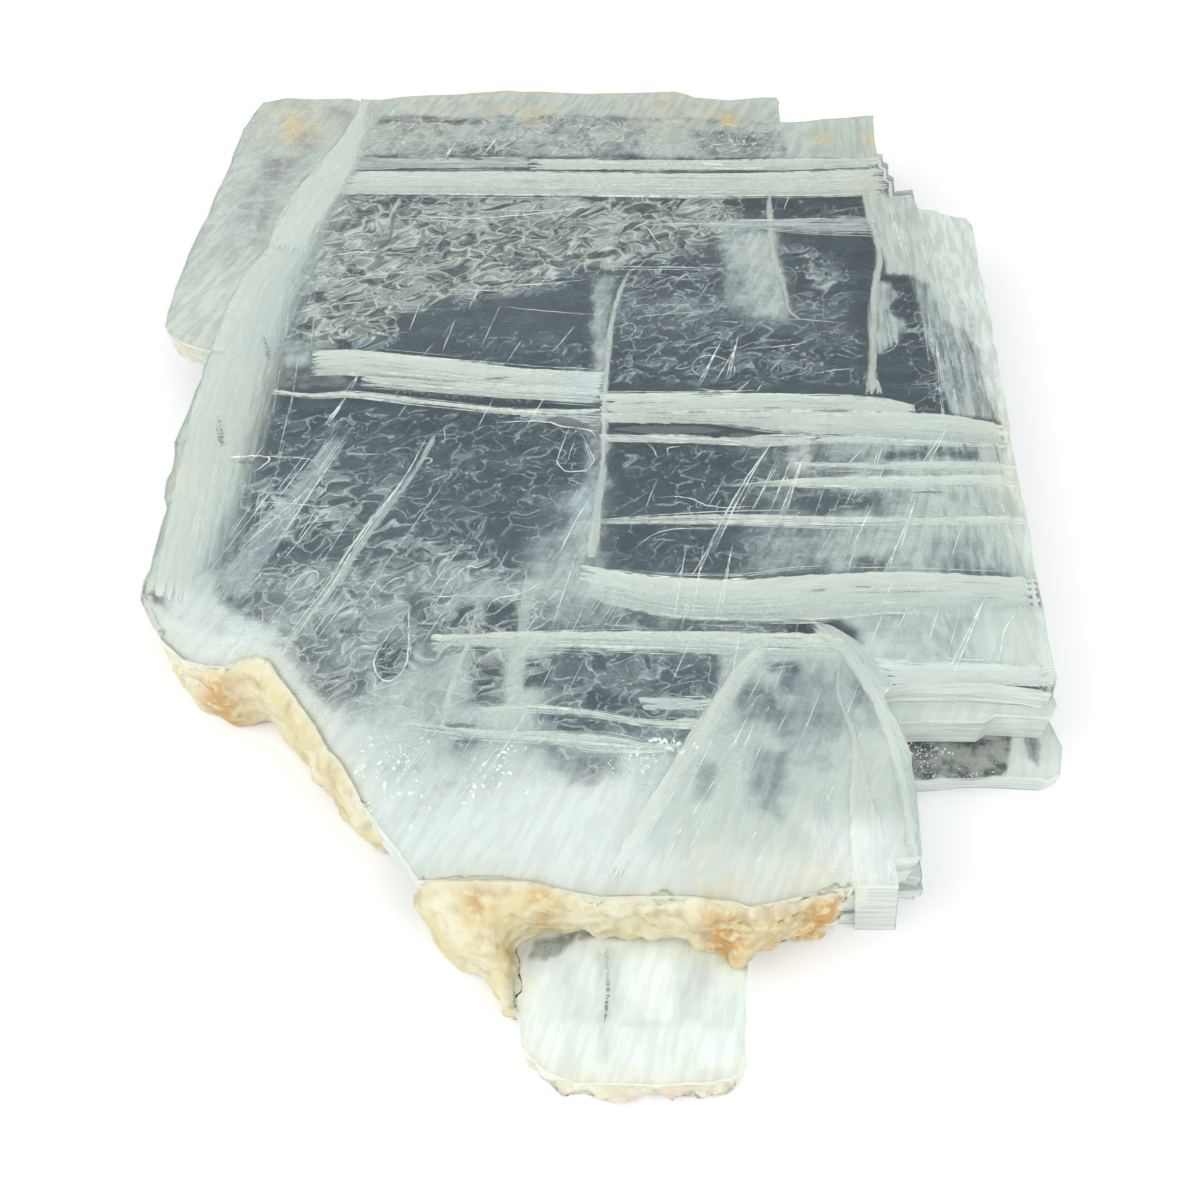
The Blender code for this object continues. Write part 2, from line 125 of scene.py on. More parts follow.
# Dark gaps in the bands: middle line, thickness in mm, how far they break up into a comb
GAPS = [
    ([(-112, 238.6), (-80, 239.2), (-40, 239.2), (0, 238.4), (44, 238)], 0.7, 0.5),
    ([(40, 238.2), (50, 238.4), (60, 238.2)], 1.9, 0.75), ([(63, 238), (76, 238.6)], 1.4, 0.8),
    ([(76, 238), (100, 239.4), (124, 241.4)], 0.8, 0.1), ([(88, 201.5), (106, 201.8)], 1.6, 0.2),
    ([(60, 198), (85, 199)], 1.0, 0.4), ([(-103, 281), (-80, 281.5), (-52, 279.5)], 1.2, 0.7),
    ([(-92, 107.5), (-75, 106), (-62, 104), (-50, 103.5)], 1.1, 0.3), ([(-46, 105), (-34, 106)], 1.5, 0.1),
    ([(-97, 100.5), (-73, 98), (-60, 96), (-46, 95), (-35, 93), (-12, 92.5)], 2.6, 1.0),
    ([(-124, 102), (-116, 102)], 3.0, 0.5), ([(-112, 103), (-100, 102.5), (-90, 102.5)], 4.2, 0.5),
    ([(-125, 109), (-121, 110)], 7.0, 1.0), ([(16, 86.8), (28, 86.9)], 0.9, 0.2), ([(32, 87.2), (41, 87.4)], 0.8, 0.2),
    ([(52, 89.8), (56, 89.8)], 0.7, 0.2), ([(60, 89.6), (70, 89.4)], 0.8, 0.2), ([(79, 88), (96, 88)], 1.5, 0.2),
    ([(103, 87.5), (107, 87.5)], 0.8, 0.2), ([(-20, 83.5), (-12, 82), (-6, 80)], 5.5, 0.1),
    ([(5, 78.6), (25, 78.4), (46, 78)], 4.6, 0.1), ([(47, 75.6), (58, 75.4)], 2.6, 0.1),
    ([(60, 75), (78, 74.6)], 0.9, 0.2), ([(79, 56.6), (95, 56.8)], 1.2, 0.2), ([(110, 47.3), (124, 47.5)], 1.2, 0.3),
    ([(18, 31.6), (46, 31.4)], 0.8, 0.3), ([(25, -9.6), (32, -9.8)], 1.2, 0.2), ([(42, -11), (49, -11.2)], 1.2, 0.2),
    ([(60, -8), (68, -8.2)], 1.0, 0.2), ([(70, 4), (76, 4.2)], 1.2, 0.5), ([(85, 5.4), (92, 5.6)], 0.8, 0.1),
    ([(-48, -48), (-38, -48)], 1.8, 0.5), ([(-45, -53.5), (-36, -53.5)], 2.0, 0.5),
    ([(93, -42.8), (101, -43)], 0.9, 0.0), ([(-134, 130), (-131, 122), (-129, 116)], 2.6, 0.85),
    ([(-144, 86), (-141, 78), (-139, 69)], 2.6, 0.85), ([(-132, 62), (-124, 62)], 2.0, 0.5),
    ([(146.8, 129), (145.8, 112), (144.5, 98)], 1.3, 0.35), ([(134.5, 130), (134, 112)], 1.5, 0.5),
    ([(137, 118), (136, 92)], 1.6, 0.5), ([(131, 122), (130.5, 100)], 1.2, 0.5),
    ([(140.5, 124), (139.5, 100)], 1.2, 0.6),
    ([(134, 72), (134.4, 62)], 1.8, 0.4), ([(137, 69), (137, 62)], 1.4, 0.4), ([(145, 72), (145.5, 61)], 1.0, 0.4),
    ([(-90, 210), (-89.5, 198), (-90, 186)], 2.0, 0.3), ([(-113, 183), (-109, 178), (-107, 172)], 1.6, 0.2),
]

# Upright veils: middle line with half width at each point, opacity, depths of the left and right edge, softness of
# the left and right edge
UPRIGHTS = [
    ([(59.5, 189, 0.4), (60, 181, 0.8), (60.5, 172, 0.4)], 0.9, 0.6, 1.6, 0.4, 1.5),
    ([(13, 172, 0.8), (8, 155, 1.4), (5, 140, 1.6), (3, 120, 1.6), (2, 100, 1.5), (1.5, 60, 1.4), (-1, 40, 2.0),
      (-2.5, 18, 2.4)], 0.95, 0.8, 2.0, 0.8, 0.8),
    ([(117.5, 224, 2.4), (117, 205, 2.6), (118.5, 190, 2.2), (117, 175, 2.0), (113, 160, 2.2), (111, 150, 2.2),
      (108, 130, 1.9), (106, 115, 1.9), (104.5, 105, 2.2), (104.5, 97, 3.6)], 0.9, 0.8, 2.2, 1.6, 0.4),
    ([(75, 222, 0.9), (73.5, 205, 1.5), (73, 190, 1.6), (74, 172, 1.4), (76, 155, 1.0), (76, 144, 0.9),
      (82, 138, 0.7)], 0.93, 0.8, 1.8, 0.4, 0.4),
    ([(60, 189, 0.5), (61.5, 180, 1.0), (62.5, 165, 1.0), (62, 152, 0.7)], 0.6, 0.8, 1.8, 0.5, 0.5),
    ([(-86, 222, 0.8), (-90, 212, 1.0), (-92, 200, 0.8), (-92, 184, 0.6)], 0.8, 0.8, 1.6, 0.3, 0.3),
    ([(-41, 0, 1.0), (-42, -15, 1.2), (-45, -25, 1.3), (-48, -40, 1.4), (-50, -54, 1.2)], 0.85, 0.8, 1.8, 0.6, 0.6),
    ([(-24, 12, 2.0), (-25, -10, 2.4), (-27, -30, 2.6), (-30, -52, 2.4)], 0.8, 1.2, 3.0, 1.2, 1.2),
    ([(54, -18, 2.0), (48, -25, 3.2), (43, -32, 3.6), (34, -47, 3.6), (23, -65, 3.6), (13, -82, 3.4),
      (3, -100, 3.0)], 0.96, 0.5, 2.0, 0.8, 0.8),
    ([(69, -10, 2.0), (76, -14, 3.6), (82, -21, 4.6), (87, -30, 5.0), (90, -40, 5.2), (92, -50, 4.8),
      (92.5, -62, 3.6), (91.5, -92, 3.2)], 0.97, 0.5, 2.0, 1.0, 0.0),
    ([(77, -25, 0.8), (75, -33, 0.9), (76, -42, 1.0), (79, -52, 1.4), (78, -66, 2.6), (78, -80, 5.0),
      (77.5, -96, 6.0), (77.5, -108, 6.0)], 0.93, 0.6, 1.6, 0.8, 0.8),
    ([(56.5, -30, 0.4), (56, -44, 0.5), (56, -60, 0.4)], 0.5, 0.6, 1.6, 0.4, 0.4),
    ([(43, -34, 0.8), (43.5, -55, 1.0), (44, -78, 1.2)], 0.5, 0.6, 1.6, 1.2, 1.2),
    ([(84, -20, 2.2), (90, -32, 3.0), (93, -48, 2.6), (94, -66, 1.6), (93, -100, 1.4)], 0.6, 0.8, 1.8, 1.5, 0.5),
    ([(67, -70, 3.0), (66, -84, 4.0), (64, -97, 5.0)], 0.5, 0.8, 1.8, 3.0, 3.0),
    ([(-61, 75, 1.4), (-67, 57, 1.4), (-77, 36, 1.5), (-84, 20, 1.5), (-90, 4, 1.5), (-98, -10, 1.6),
      (-103, -22, 1.6)], 0.66, 0.8, 2.0, 0.8, 0.8),
    ([(-96.5, 75, 3.5), (-103, 57, 4.6), (-111, 36, 5.6), (-119, 18, 6.4), (-126, 0, 6.0)], 0.5, 1.0, 3.0, 2.0, 1.5),
]

# The broad band along the left and its denser upper part: their outer and inner edges
LEFT_TOP = ([(-115, 298), (-117, 275), (-123, 256), (-130, 240), (-134, 228), (-138, 216), (-141, 200), (-142, 184)],
            [(-107, 298), (-106, 262), (-107, 250), (-109, 235), (-112, 222), (-116, 208), (-121, 192), (-122, 178)])
LEFT_BAND = ([(-112, 297), (-117, 270), (-124, 250), (-132, 230), (-138, 205), (-142, 182), (-147, 168),
              (-151, 150), (-153.5, 120), (-154, 90), (-153, 65), (-152, 40), (-151, 20), (-149, 2)],
             [(-99, 297), (-102, 270), (-104, 250), (-106, 230), (-108, 210), (-111, 190), (-114, 160),
              (-117, 130), (-118, 105), (-120, 80), (-119, 60), (-122, 30), (-124, 10), (-127, -8)])

# Haze under the top face: outline, opacity, softness of the edge in mm
HAZE = [
    ([(-156, 125), (-146, 125), (-148, 80), (-148, 40), (-146, 5), (-156, 5)], 0.9, 2.0),
    ([(148, -28), (148, 40), (149, 80), (150, 120), (148, 160), (147, 212), (162, 212), (162, 160), (158, 80),
      (153, 0), (150, -28)], 0.95, 1.2),
    ([(117, 224), (119, 168), (130, 166), (137, 160), (138, 140), (147, 134), (152, 212), (140, 218)], 0.93, 2.5),
    ([(130, 168), (128, 150), (129, 130), (131, 110), (132, 86), (150, 82), (150, 140), (140, 168)], 0.58, 2.0),
    ([(112, 164), (119, 162), (122, 154), (117, 146), (121, 136), (119, 126), (110, 118), (107, 118)], 0.66, 1.5),
    ([(52, 72), (150, 72), (150, 14), (52, 14)], 0.3, 12.0), ([(84, 74), (150, 74), (150, 12), (80, 12)], 0.45, 8.0),
    ([(112, 68), (150, 68), (150, 12), (108, 12)], 0.45, 6.0), ([(138, 66), (150, 66), (150, 8), (140, 8)], 0.7, 3.0),
    ([(-112, 305), (-110, 284), (-60, 281), (0, 282), (40, 280), (84, 278), (88, 305)], 0.84, 2.0),
    ([(-112, 284), (84, 282), (84, 249), (-112, 249)], 0.5, 4.0),
    ([(18, 276), (84, 276), (84, 249), (22, 249)], 0.6, 4.0),
    ([(84, 284), (85, 248), (132, 248), (132, 284)], 0.9, 1.2),
    ([(-114, 252), (-80, 252), (-60, 262), (-40, 278), (-112, 278)], 0.3, 5.0),
    ([(-178, 312), (-100, 304), (-108, 260), (-126, 215), (-134, 178), (-140, 150), (-142, 118), (-182, 118)],
     0.88, 2.0), ([(-176, 138), (-171, 153), (-157, 163), (-141, 186), (-138, 178), (-144, 120), (-172, 116)],
                  0.75, 1.0),
    ([(-125, 75), (-100, 72), (-60, 62), (-40, 20), (-30, -20), (-60, -60), (-120, -30), (-138, 0)], 0.12, 10.0),
    ([(-128, 40), (-112, 40), (-118, 8), (-136, 0)], 0.15, 5.0),
    ([(-152, 3), (-140, -8), (-130, -12), (-115, -16), (-106, -20), (-96, -34), (-110, -34), (-152, -20)], 0.97, 1.2),
    ([(-106, -18), (-95, -28), (-84, -48), (-70, -64), (-58, -78), (-46, -92), (-60, -100), (-115, -30)], 0.93, 5.0),
    ([(-130, 14), (-60, 14), (60, 10), (60, -30), (40, -60), (-60, -60), (-110, -20)], 0.3, 9.0),
    ([(-70, -26), (-20, -22), (-16, -50), (-70, -56)], 0.45, 8.0), ([(-24, 45), (3, 52), (3, 4), (-26, 4)], 0.5, 6.0),
    ([(-30, -16), (-14, -16), (-22, -60), (-38, -60)], 0.5, 5.0), ([(-6, 90), (4, 90), (3, 50), (-7, 50)], 0.45, 2.5),
    ([(-104, -36), (-70, -44), (-40, -58), (0, -54), (40, -56), (92, -50), (92, -108), (-60, -108)], 0.76, 7.0),
    ([(50, 30), (112, 30), (112, 12), (50, 12)], 0.35, 5.0), ([(8, 152), (100, 152), (100, 130), (8, 130)], 0.2, 7.0),
    ([(-125, 128), (-112, 128), (-112, 112), (-125, 112)], 0.5, 3.0),
    ([(52, 190), (74, 190), (74, 170), (54, 168)], 0.5, 4.0),
    ([(-50, 10), (10, 8), (8, -8), (-50, -8)], 0.3, 5.0),
    ([(-60, -98), (-44, -70), (-20, -62), (10, -64), (14, -104), (-50, -106)], 0.8, 7.0),
    ([(40, -22), (90, -16), (95, -50), (95, -104), (14, -104), (26, -66)], 0.66, 3.0),
    ([(2, -94), (50, -88), (90, -90), (90, -106), (2, -108)], 0.7, 4.0),
    ([(78, -4), (150, -2), (148, -30), (90, -28)], 0.7, 4.0),
    ([(126, -4), (148, -4), (146, -32), (122, -30)], 0.9, 2.0),
    ([(50, 200), (75, 206), (77, 168), (76, 138), (62, 138), (50, 148)], 0.5, 5.0),
    ([(60, 195), (75, 195), (76, 142), (62, 142)], 0.4, 3.0),
    ([(20, 158), (45, 158), (46, 144), (20, 144)], 0.26, 5.0),
    ([(-120, 220), (-30, 222), (60, 222), (70, 190), (40, 165), (-20, 130), (-80, 124), (-120, 124)], 0.12, 14.0),
    ([(-7, 52), (-1, 50), (-3, 18), (-12, 18)], 0.45, 3.0), ([(-3, 165), (6, 165), (3, 104), (-3, 104)], 0.55, 2.5),
    ([(-152, 14), (-130, 12), (-126, 0), (-104, -14), (-120, -22), (-142, -14)], 0.75, 3.0),
    ([(70, 76), (79, 76), (76, 56), (68, 56)], 0.5, 2.0),
    ([(-118, 222), (-104, 222), (-110, 170), (-122, 150)], 0.4, 7.0),
    ([(-125, 100), (-96, 100), (-98, 120), (-122, 120)], 0.3, 2.0),
]

# Darker places in the haze, partly painted shade: on the raised wing at the left they stand in for the shade
# under it, seen through the crystal; at the back they darken clear places. Outline, strength, softness in mm
DIM_AND_SHADE = [
    ([(-178, 312), (-100, 304), (-108, 260), (-126, 215), (-134, 178), (-148, 176), (-176, 160)], 0.12, 3.0),
    ([(-152, 252), (-136, 250), (-136, 232), (-150, 232)], 0.52, 6.0),
    ([(-144, 270), (-127, 268), (-126, 253), (-140, 254)], 0.36, 5.0),
    ([(-158, 228), (-143, 230), (-142, 205), (-156, 204)], 0.46, 6.0),
    ([(-155, 202), (-142, 202), (-143, 188), (-153, 188)], 0.3, 5.0),
    ([(-131, 289), (-118, 289), (-119, 276), (-129, 278)], 0.35, 4.0),
    ([(-166, 184), (-152, 183), (-152, 172), (-164, 174)], 0.2, 4.0),
    ([(-106, 281.6), (-50, 280), (-50, 275.5), (-106, 277)], 0.35, 1.5),
    ([(54, 270), (78, 270), (78, 256), (50, 256)], 0.22, 4.0),
    ([(-104, 272), (-84, 274), (-60, 262), (-60, 252), (-100, 254)], 0.15, 5.0),
]

# Clearer places in it: outline, strength, softness in mm
WINDOWS = [
    ([(112, 26), (128, 26), (128, 14), (112, 14)], 0.35, 3.0), ([(30, 50), (50, 50), (50, 30), (30, 30)], 0.5, 5.0),
    ([(-7, -13), (9, -13), (9, -22), (-7, -22)], 0.4, 2.0),
    ([(43, -33), (55, -32), (56, -46), (42, -49)], 0.42, 3.0),
    ([(52, -24.5), (64, -24.5), (64, -27.5), (53, -27.5)], 0.6, 0.8),
    ([(57, -28), (64, -28), (62, -35), (56, -34)], 0.5, 2.0),
    ([(45, -56), (57, -56), (56, -72), (54, -79), (44, -77)], 0.42, 3.0),
    ([(56, -34), (74, -32), (74, -60), (58, -72), (56, -50)], 0.24, 6.0),
    ([(31, -58), (36, -60), (33, -74), (26, -74)], 0.42, 1.5), ([(80, -32), (84, -32), (84, -42), (80, -42)], 0.3, 2.0),
    ([(16, -26), (38, -26), (36, -38), (17, -37)], 0.5, 2.5),
    ([(14, -43.5), (27, -44), (27, -46.5), (14, -45.8)], 0.7, 0.8),
    ([(-20, -44), (-2, -45), (10, -50.5), (-6, -50), (-20, -48)], 0.45, 1.5),
    ([(-14, -55), (6, -58), (6, -66), (-10, -70), (-16, -62)], 0.45, 3.0),
    ([(-72, -18), (-62, -16), (-62, -29), (-70, -31)], 0.8, 1.5),
    ([(-48, -2), (-42, -2), (-43, -13), (-49, -13)], 0.85, 1.2),
    ([(-38, -1), (-28, -1), (-29, -13), (-39, -13)], 0.85, 1.2),
    ([(-42, -21), (-30, -21), (-30, -40), (-40, -40)], 0.8, 2.0),
    ([(-24, -22), (-15, -22), (-16, -34), (-25, -34)], 0.75, 2.0),
    ([(-6, -30), (2, -36), (14, -42), (13, -44), (-3, -43), (-8, -34)], 0.85, 1.2),
    ([(-4, -22), (16, -22), (14, -28), (-2, -28)], 0.6, 2.0),
    ([(-62, 0), (-50, 0), (-52, -12), (-64, -12)], 0.4, 2.0),
    ([(-124, 216), (-110, 216), (-110, 186), (-118, 184)], 0.5, 4.0),
    ([(-62, 258), (-40, 262), (-40, 250), (-62, 248)], 0.6, 4.0),
    ([(44, 270), (80, 270), (80, 252), (40, 252)], 0.5, 4.0),
    ([(-104, 280), (-50, 280), (-50, 276), (-104, 277)], 0.5, 1.5),
    ([(86, 18), (100, 20), (98, 14), (86, 13)], 0.5, 2.0),
    ([(104, 67), (120, 68), (119, 64), (104, 63.5)], 0.7, 1.2),
    ([(121, 68), (137, 68), (137, 64), (121, 64)], 0.6, 1.2),
    ([(72, 47), (100, 47), (98, 38), (72, 38)], 0.6, 2.5),
    ([(-70, 88), (-24, 86), (-14, 30), (-48, 22), (-74, 52)], 0.7, 8.0),
    ([(8, 96), (44, 76), (50, 40), (34, 20), (8, 16), (6, 50)], 0.5, 7.0),
    ([(18, 176), (56, 178), (44, 150), (16, 152)], 0.6, 6.0),
    ([(84, 170), (102, 210), (114, 210), (112, 165), (100, 140), (84, 150)], 0.6, 5.0),
    ([(8, 104), (46, 100), (46, 96), (8, 97)], 0.6, 2.0), ([(6, 80), (48, 80), (48, 74), (6, 74)], 0.5, 2.0),
]

# Whiter places, bluish places: outline, strength, softness
WHITE = [
    ([(-20, -62), (24, -64), (22, -96), (-24, -98)], 0.25, 6.0),
    ([(10, -90), (80, -90), (80, -110), (10, -110)], 0.6, 5.0),
    ([(-110, -20), (-90, -30), (-62, -60), (-40, -70), (10, -60), (10, -106), (-120, -106)], 0.7, 10.0),
    ([(-152, 6), (-128, 0), (-100, -14), (-96, -40), (-152, -40)], 0.7, 6.0),
    ([(140, 230), (138, 130), (148, 80), (146, -30), (170, -30), (170, 230)], 0.45, 4.0),
    ([(60, -80), (90, -80), (90, -120), (60, -120)], 0.9, 5.0), ([(-3, 150), (3, 150), (3, 60), (-3, 60)], 0.5, 4.0),
    ([(85, -10), (150, -10), (150, -60), (85, -60)], 0.3, 5.0), ([(68, 80), (82, 80), (76, 50), (66, 50)], 0.5, 4.0),
]
BLUE = [
    ([(-12, 152), (2, 152), (1, 40), (-14, 18), (-12, 60)], 0.7, 5.0),
    ([(-120, 80), (-96, 80), (-112, 10), (-136, 10)], 0.6, 6.0),
    ([(82, -4), (128, -4), (128, -30), (84, -30)], 0.35, 5.0),
    ([(-70, 66), (-56, 66), (-90, -10), (-110, -30)], 0.3, 6.0),
    ([(120, 170), (150, 134), (150, 84), (120, 84)], 0.4, 8.0),
    ([(-128, 190), (-118, 190), (-122, 120), (-136, 120)], 0.4, 6.0),
]
STAINS = [(-142, 273, 14, 0.8), (-31, 284, 8, 0.9), (-48, 286, 5, 0.5), (57, 279, 8, 0.9), (104, 264, 6, 0.8),
          (124, 262, 5, 1.0), (30, 292, 26, 0.3), (-80, 292, 30, 0.22), (120, 226, 9, 0.3), (34, -104, 12, 0.35),
          (60, -99, 12, 0.25), (-166, 122, 8, 0.5), (-155, 55, 7, 0.25), (154, 84, 14, 0.25), (156, 50, 12, 0.2)]

# Net of healed cracks: outline, strength, softness in mm
NETS = [
    ([(-118, 222), (60, 222), (64, 196), (30, 178), (-10, 168), (-40, 152), (-60, 150), (-80, 140), (-84, 122),
      (-124, 122)], 0.95, 8.0),
    ([(-10, 190), (50, 200), (60, 176), (30, 160)], 0.25, 10.0),
    ([(62, 220), (116, 215), (114, 200), (80, 196)], 0.3, 6.0),
    ([(78, 192), (86, 188), (104, 168), (102, 158), (90, 160), (76, 178)], 0.55, 5.0),
    ([(-60, 134), (20, 130), (60, 130), (100, 130), (100, 104), (0, 108), (-60, 118)], 0.2, 8.0),
    ([(-112, 282), (84, 280), (84, 250), (-112, 250)], 0.85, 3.0),
    ([(-164, 292), (-122, 290), (-142, 200), (-150, 182), (-164, 182)], 0.62, 6.0),
    ([(-128, 50), (-96, 60), (-60, 30), (-10, 10), (-10, -20), (-60, -60), (-120, -20)], 0.66, 10.0),
    ([(-122, 90), (-4, 84), (-4, 20), (-122, 40)], 0.3, 6.0), ([(5, 175), (100, 175), (104, 104), (5, 104)], 0.28, 6.0),
    ([(5, 74), (60, 70), (60, 12), (5, 12)], 0.2, 8.0), ([(10, 165), (48, 166), (50, 140), (10, 142)], 0.3, 5.0),
    ([(60, 70), (140, 70), (140, 16), (60, 16)], 0.3, 10.0),
    ([(-40, 0), (70, 0), (40, -70), (-50, -60)], 0.45, 12.0),
    ([(120, 160), (150, 130), (150, 88), (120, 88)], 0.35, 8.0),
]

# Bright lines of open cracks: points, thickness in mm
CRACKS = [
    ([(-60, 209), (-40, 210), (-20, 210), (0, 215)], 0.35), ([(0, 172), (25, 172), (55, 171)], 0.5),
    ([(-84, 207), (-60, 204), (-40, 206), (-15, 210), (5, 216)], 0.7), ([(-90, 204), (-72, 205), (-50, 207)], 0.4),
    ([(2, 170), (30, 170.5), (52, 169.8)], 0.3), ([(-40, 160), (-22, 161), (-5, 164)], 0.7),
    ([(-40, 147), (-20, 144), (0, 142)], 0.35), ([(10, 140), (22, 142), (30, 143), (42, 144)], 0.35),
    ([(-40, 82), (-20, 83), (-15, 80), (-8, 79), (-3, 78), (0, 71)], 0.7),
    ([(5, 76.5), (30, 73.5), (45, 73.5), (60, 70)], 0.5), ([(-10, 84), (-12, 78), (-17, 57), (0, 58), (-8, 79)], 0.5),
    ([(-9, 74), (-12, 62)], 0.3), ([(-6, 72), (-3, 62)], 0.3), ([(-33, 84), (-27, 85), (-26, 88), (-32, 88)], 0.5),
    ([(44, 104), (38, 107), (35, 111), (37, 116), (43, 119), (50, 116), (53, 111), (51, 106), (44, 104)], 0.4),
    ([(36, 100), (45, 98.5), (60, 99)], 0.5), ([(56, 122), (75, 124), (82, 126), (84, 129)], 0.45),
    ([(33, 118), (35, 123), (40, 126), (46, 128)], 0.4), ([(70, 140), (85, 139), (98, 137)], 0.35),
    ([(82, 108), (90, 110), (98, 111)], 0.4), ([(112, 131), (118, 128), (116, 122), (110, 119)], 0.4),
    ([(8, 126), (12, 129), (15, 134), (12, 138), (8, 135), (9, 130)], 0.3),
    ([(30, 160), (34, 166), (36, 168), (38, 163), (40, 160)], 0.4), ([(18, 158), (26, 164), (34, 166)], 0.3),
    ([(-66, -8), (-72, -20), (-73, -27), (-68, -33), (-62, -28), (-62, -15), (-64, 0)], 0.6),
    ([(20, 45), (30, 46), (40, 40), (55, 41)], 0.45), ([(10, 20), (20, 30), (32, 31), (45, 31)], 0.4),
    ([(-38, -5), (-35, 1), (-27, 2), (-22, 6), (-18, 8)], 0.5), ([(18, 200), (21, 197), (23, 191), (26, 186)], 0.6),
    ([(-135, 65), (-121, 65), (-120, 63), (-125, 57)], 0.8), ([(137, 137), (142, 134), (148, 133)], 1.0),
    ([(129, 55), (123, 45), (134, 43.5), (150, 44)], 0.8), ([(-148, 172), (-158, 160), (-168, 149)], 0.8),
    ([(-150, 170), (-153, 150), (-155, 122)], 0.9), ([(50, -91), (62, -96), (82, -97)], 0.2),
    ([(42, 245), (60, 243)], 0.9), ([(-6, 245.5), (10, 245)], 0.6), ([(93, -26), (96, -26)], 0.6),
    ([(-118, 221.8), (0, 221), (60, 220.4), (128, 221)], 0.5), ([(0, 97.4), (60, 97.3), (105, 96.2), (119, 91)], 0.5),
    ([(70, 62), (110, 62.2), (150, 62.8)], 0.5), ([(45, 51.2), (70, 54.2), (90, 54.8), (150, 56.2)], 0.4),
    ([(-6, 15), (5, 12.4), (25, 9.2), (50, 8.2)], 0.4), ([(44, 8.8), (50, 8.7)], 0.9),
    ([(60, 10.3), (110, 12.2), (147, 9.3)], 0.4), ([(-113, 121.2), (-60, 116.6), (0, 109.2)], 0.4),
    ([(-125, 42), (-115, 43), (-100, 41), (-94, 41), (-91, 38)], 0.4), ([(-125, 65), (-105, 64), (-102, 60)], 0.4),
    ([(-95, 66), (-80, 66)], 0.35), ([(-60, 53), (-55, 56)], 0.4), ([(-66, 61), (-65, 64), (-60, 64), (-64, 60)], 0.5),
    ([(-58, 80), (-57, 70)], 0.4), ([(-60, 157.5), (-50, 157), (-35, 157)], 0.5), ([(-113, 147), (-97, 160)], 0.5),
    ([(-122, 143), (-110, 148), (-96, 150)], 0.5), ([(-118, 160), (-100, 166), (-84, 168), (-60, 174)], 0.5),
    ([(-116, 178), (-104, 182), (-92, 181)], 0.7), ([(-92, 182), (-80, 180), (-64, 182)], 0.5),
    ([(-60, 1.5), (-35, 1.8)], 0.4), ([(-54, 5), (-50, 9), (-45, 15), (-42, 13), (-38, 16)], 0.5),
    ([(-104, 4), (-101, 11), (-96, 13), (-95, 8), (-100, 4)], 0.4), ([(-75, 2), (-70, 9), (-65, 10), (-67, 4)], 0.4),
    ([(17, 72), (20, 68), (21, 64)], 0.5), ([(25, 65), (24, 69), (30, 70)], 0.4),
    ([(-4, 45), (-9, 33), (-14, 20)], 0.6),
    ([(138, -5), (132, -12), (128, -25)], 0.6), ([(111, 47), (124, 47.2)], 0.3), ([(-128, 64.5), (-135, 64.5)], 1.0),
    ([(142, 200), (143, 168)], 0.6), ([(127, 215), (128, 180)], 0.5), ([(148, 165), (156, 163)], 0.7),
]

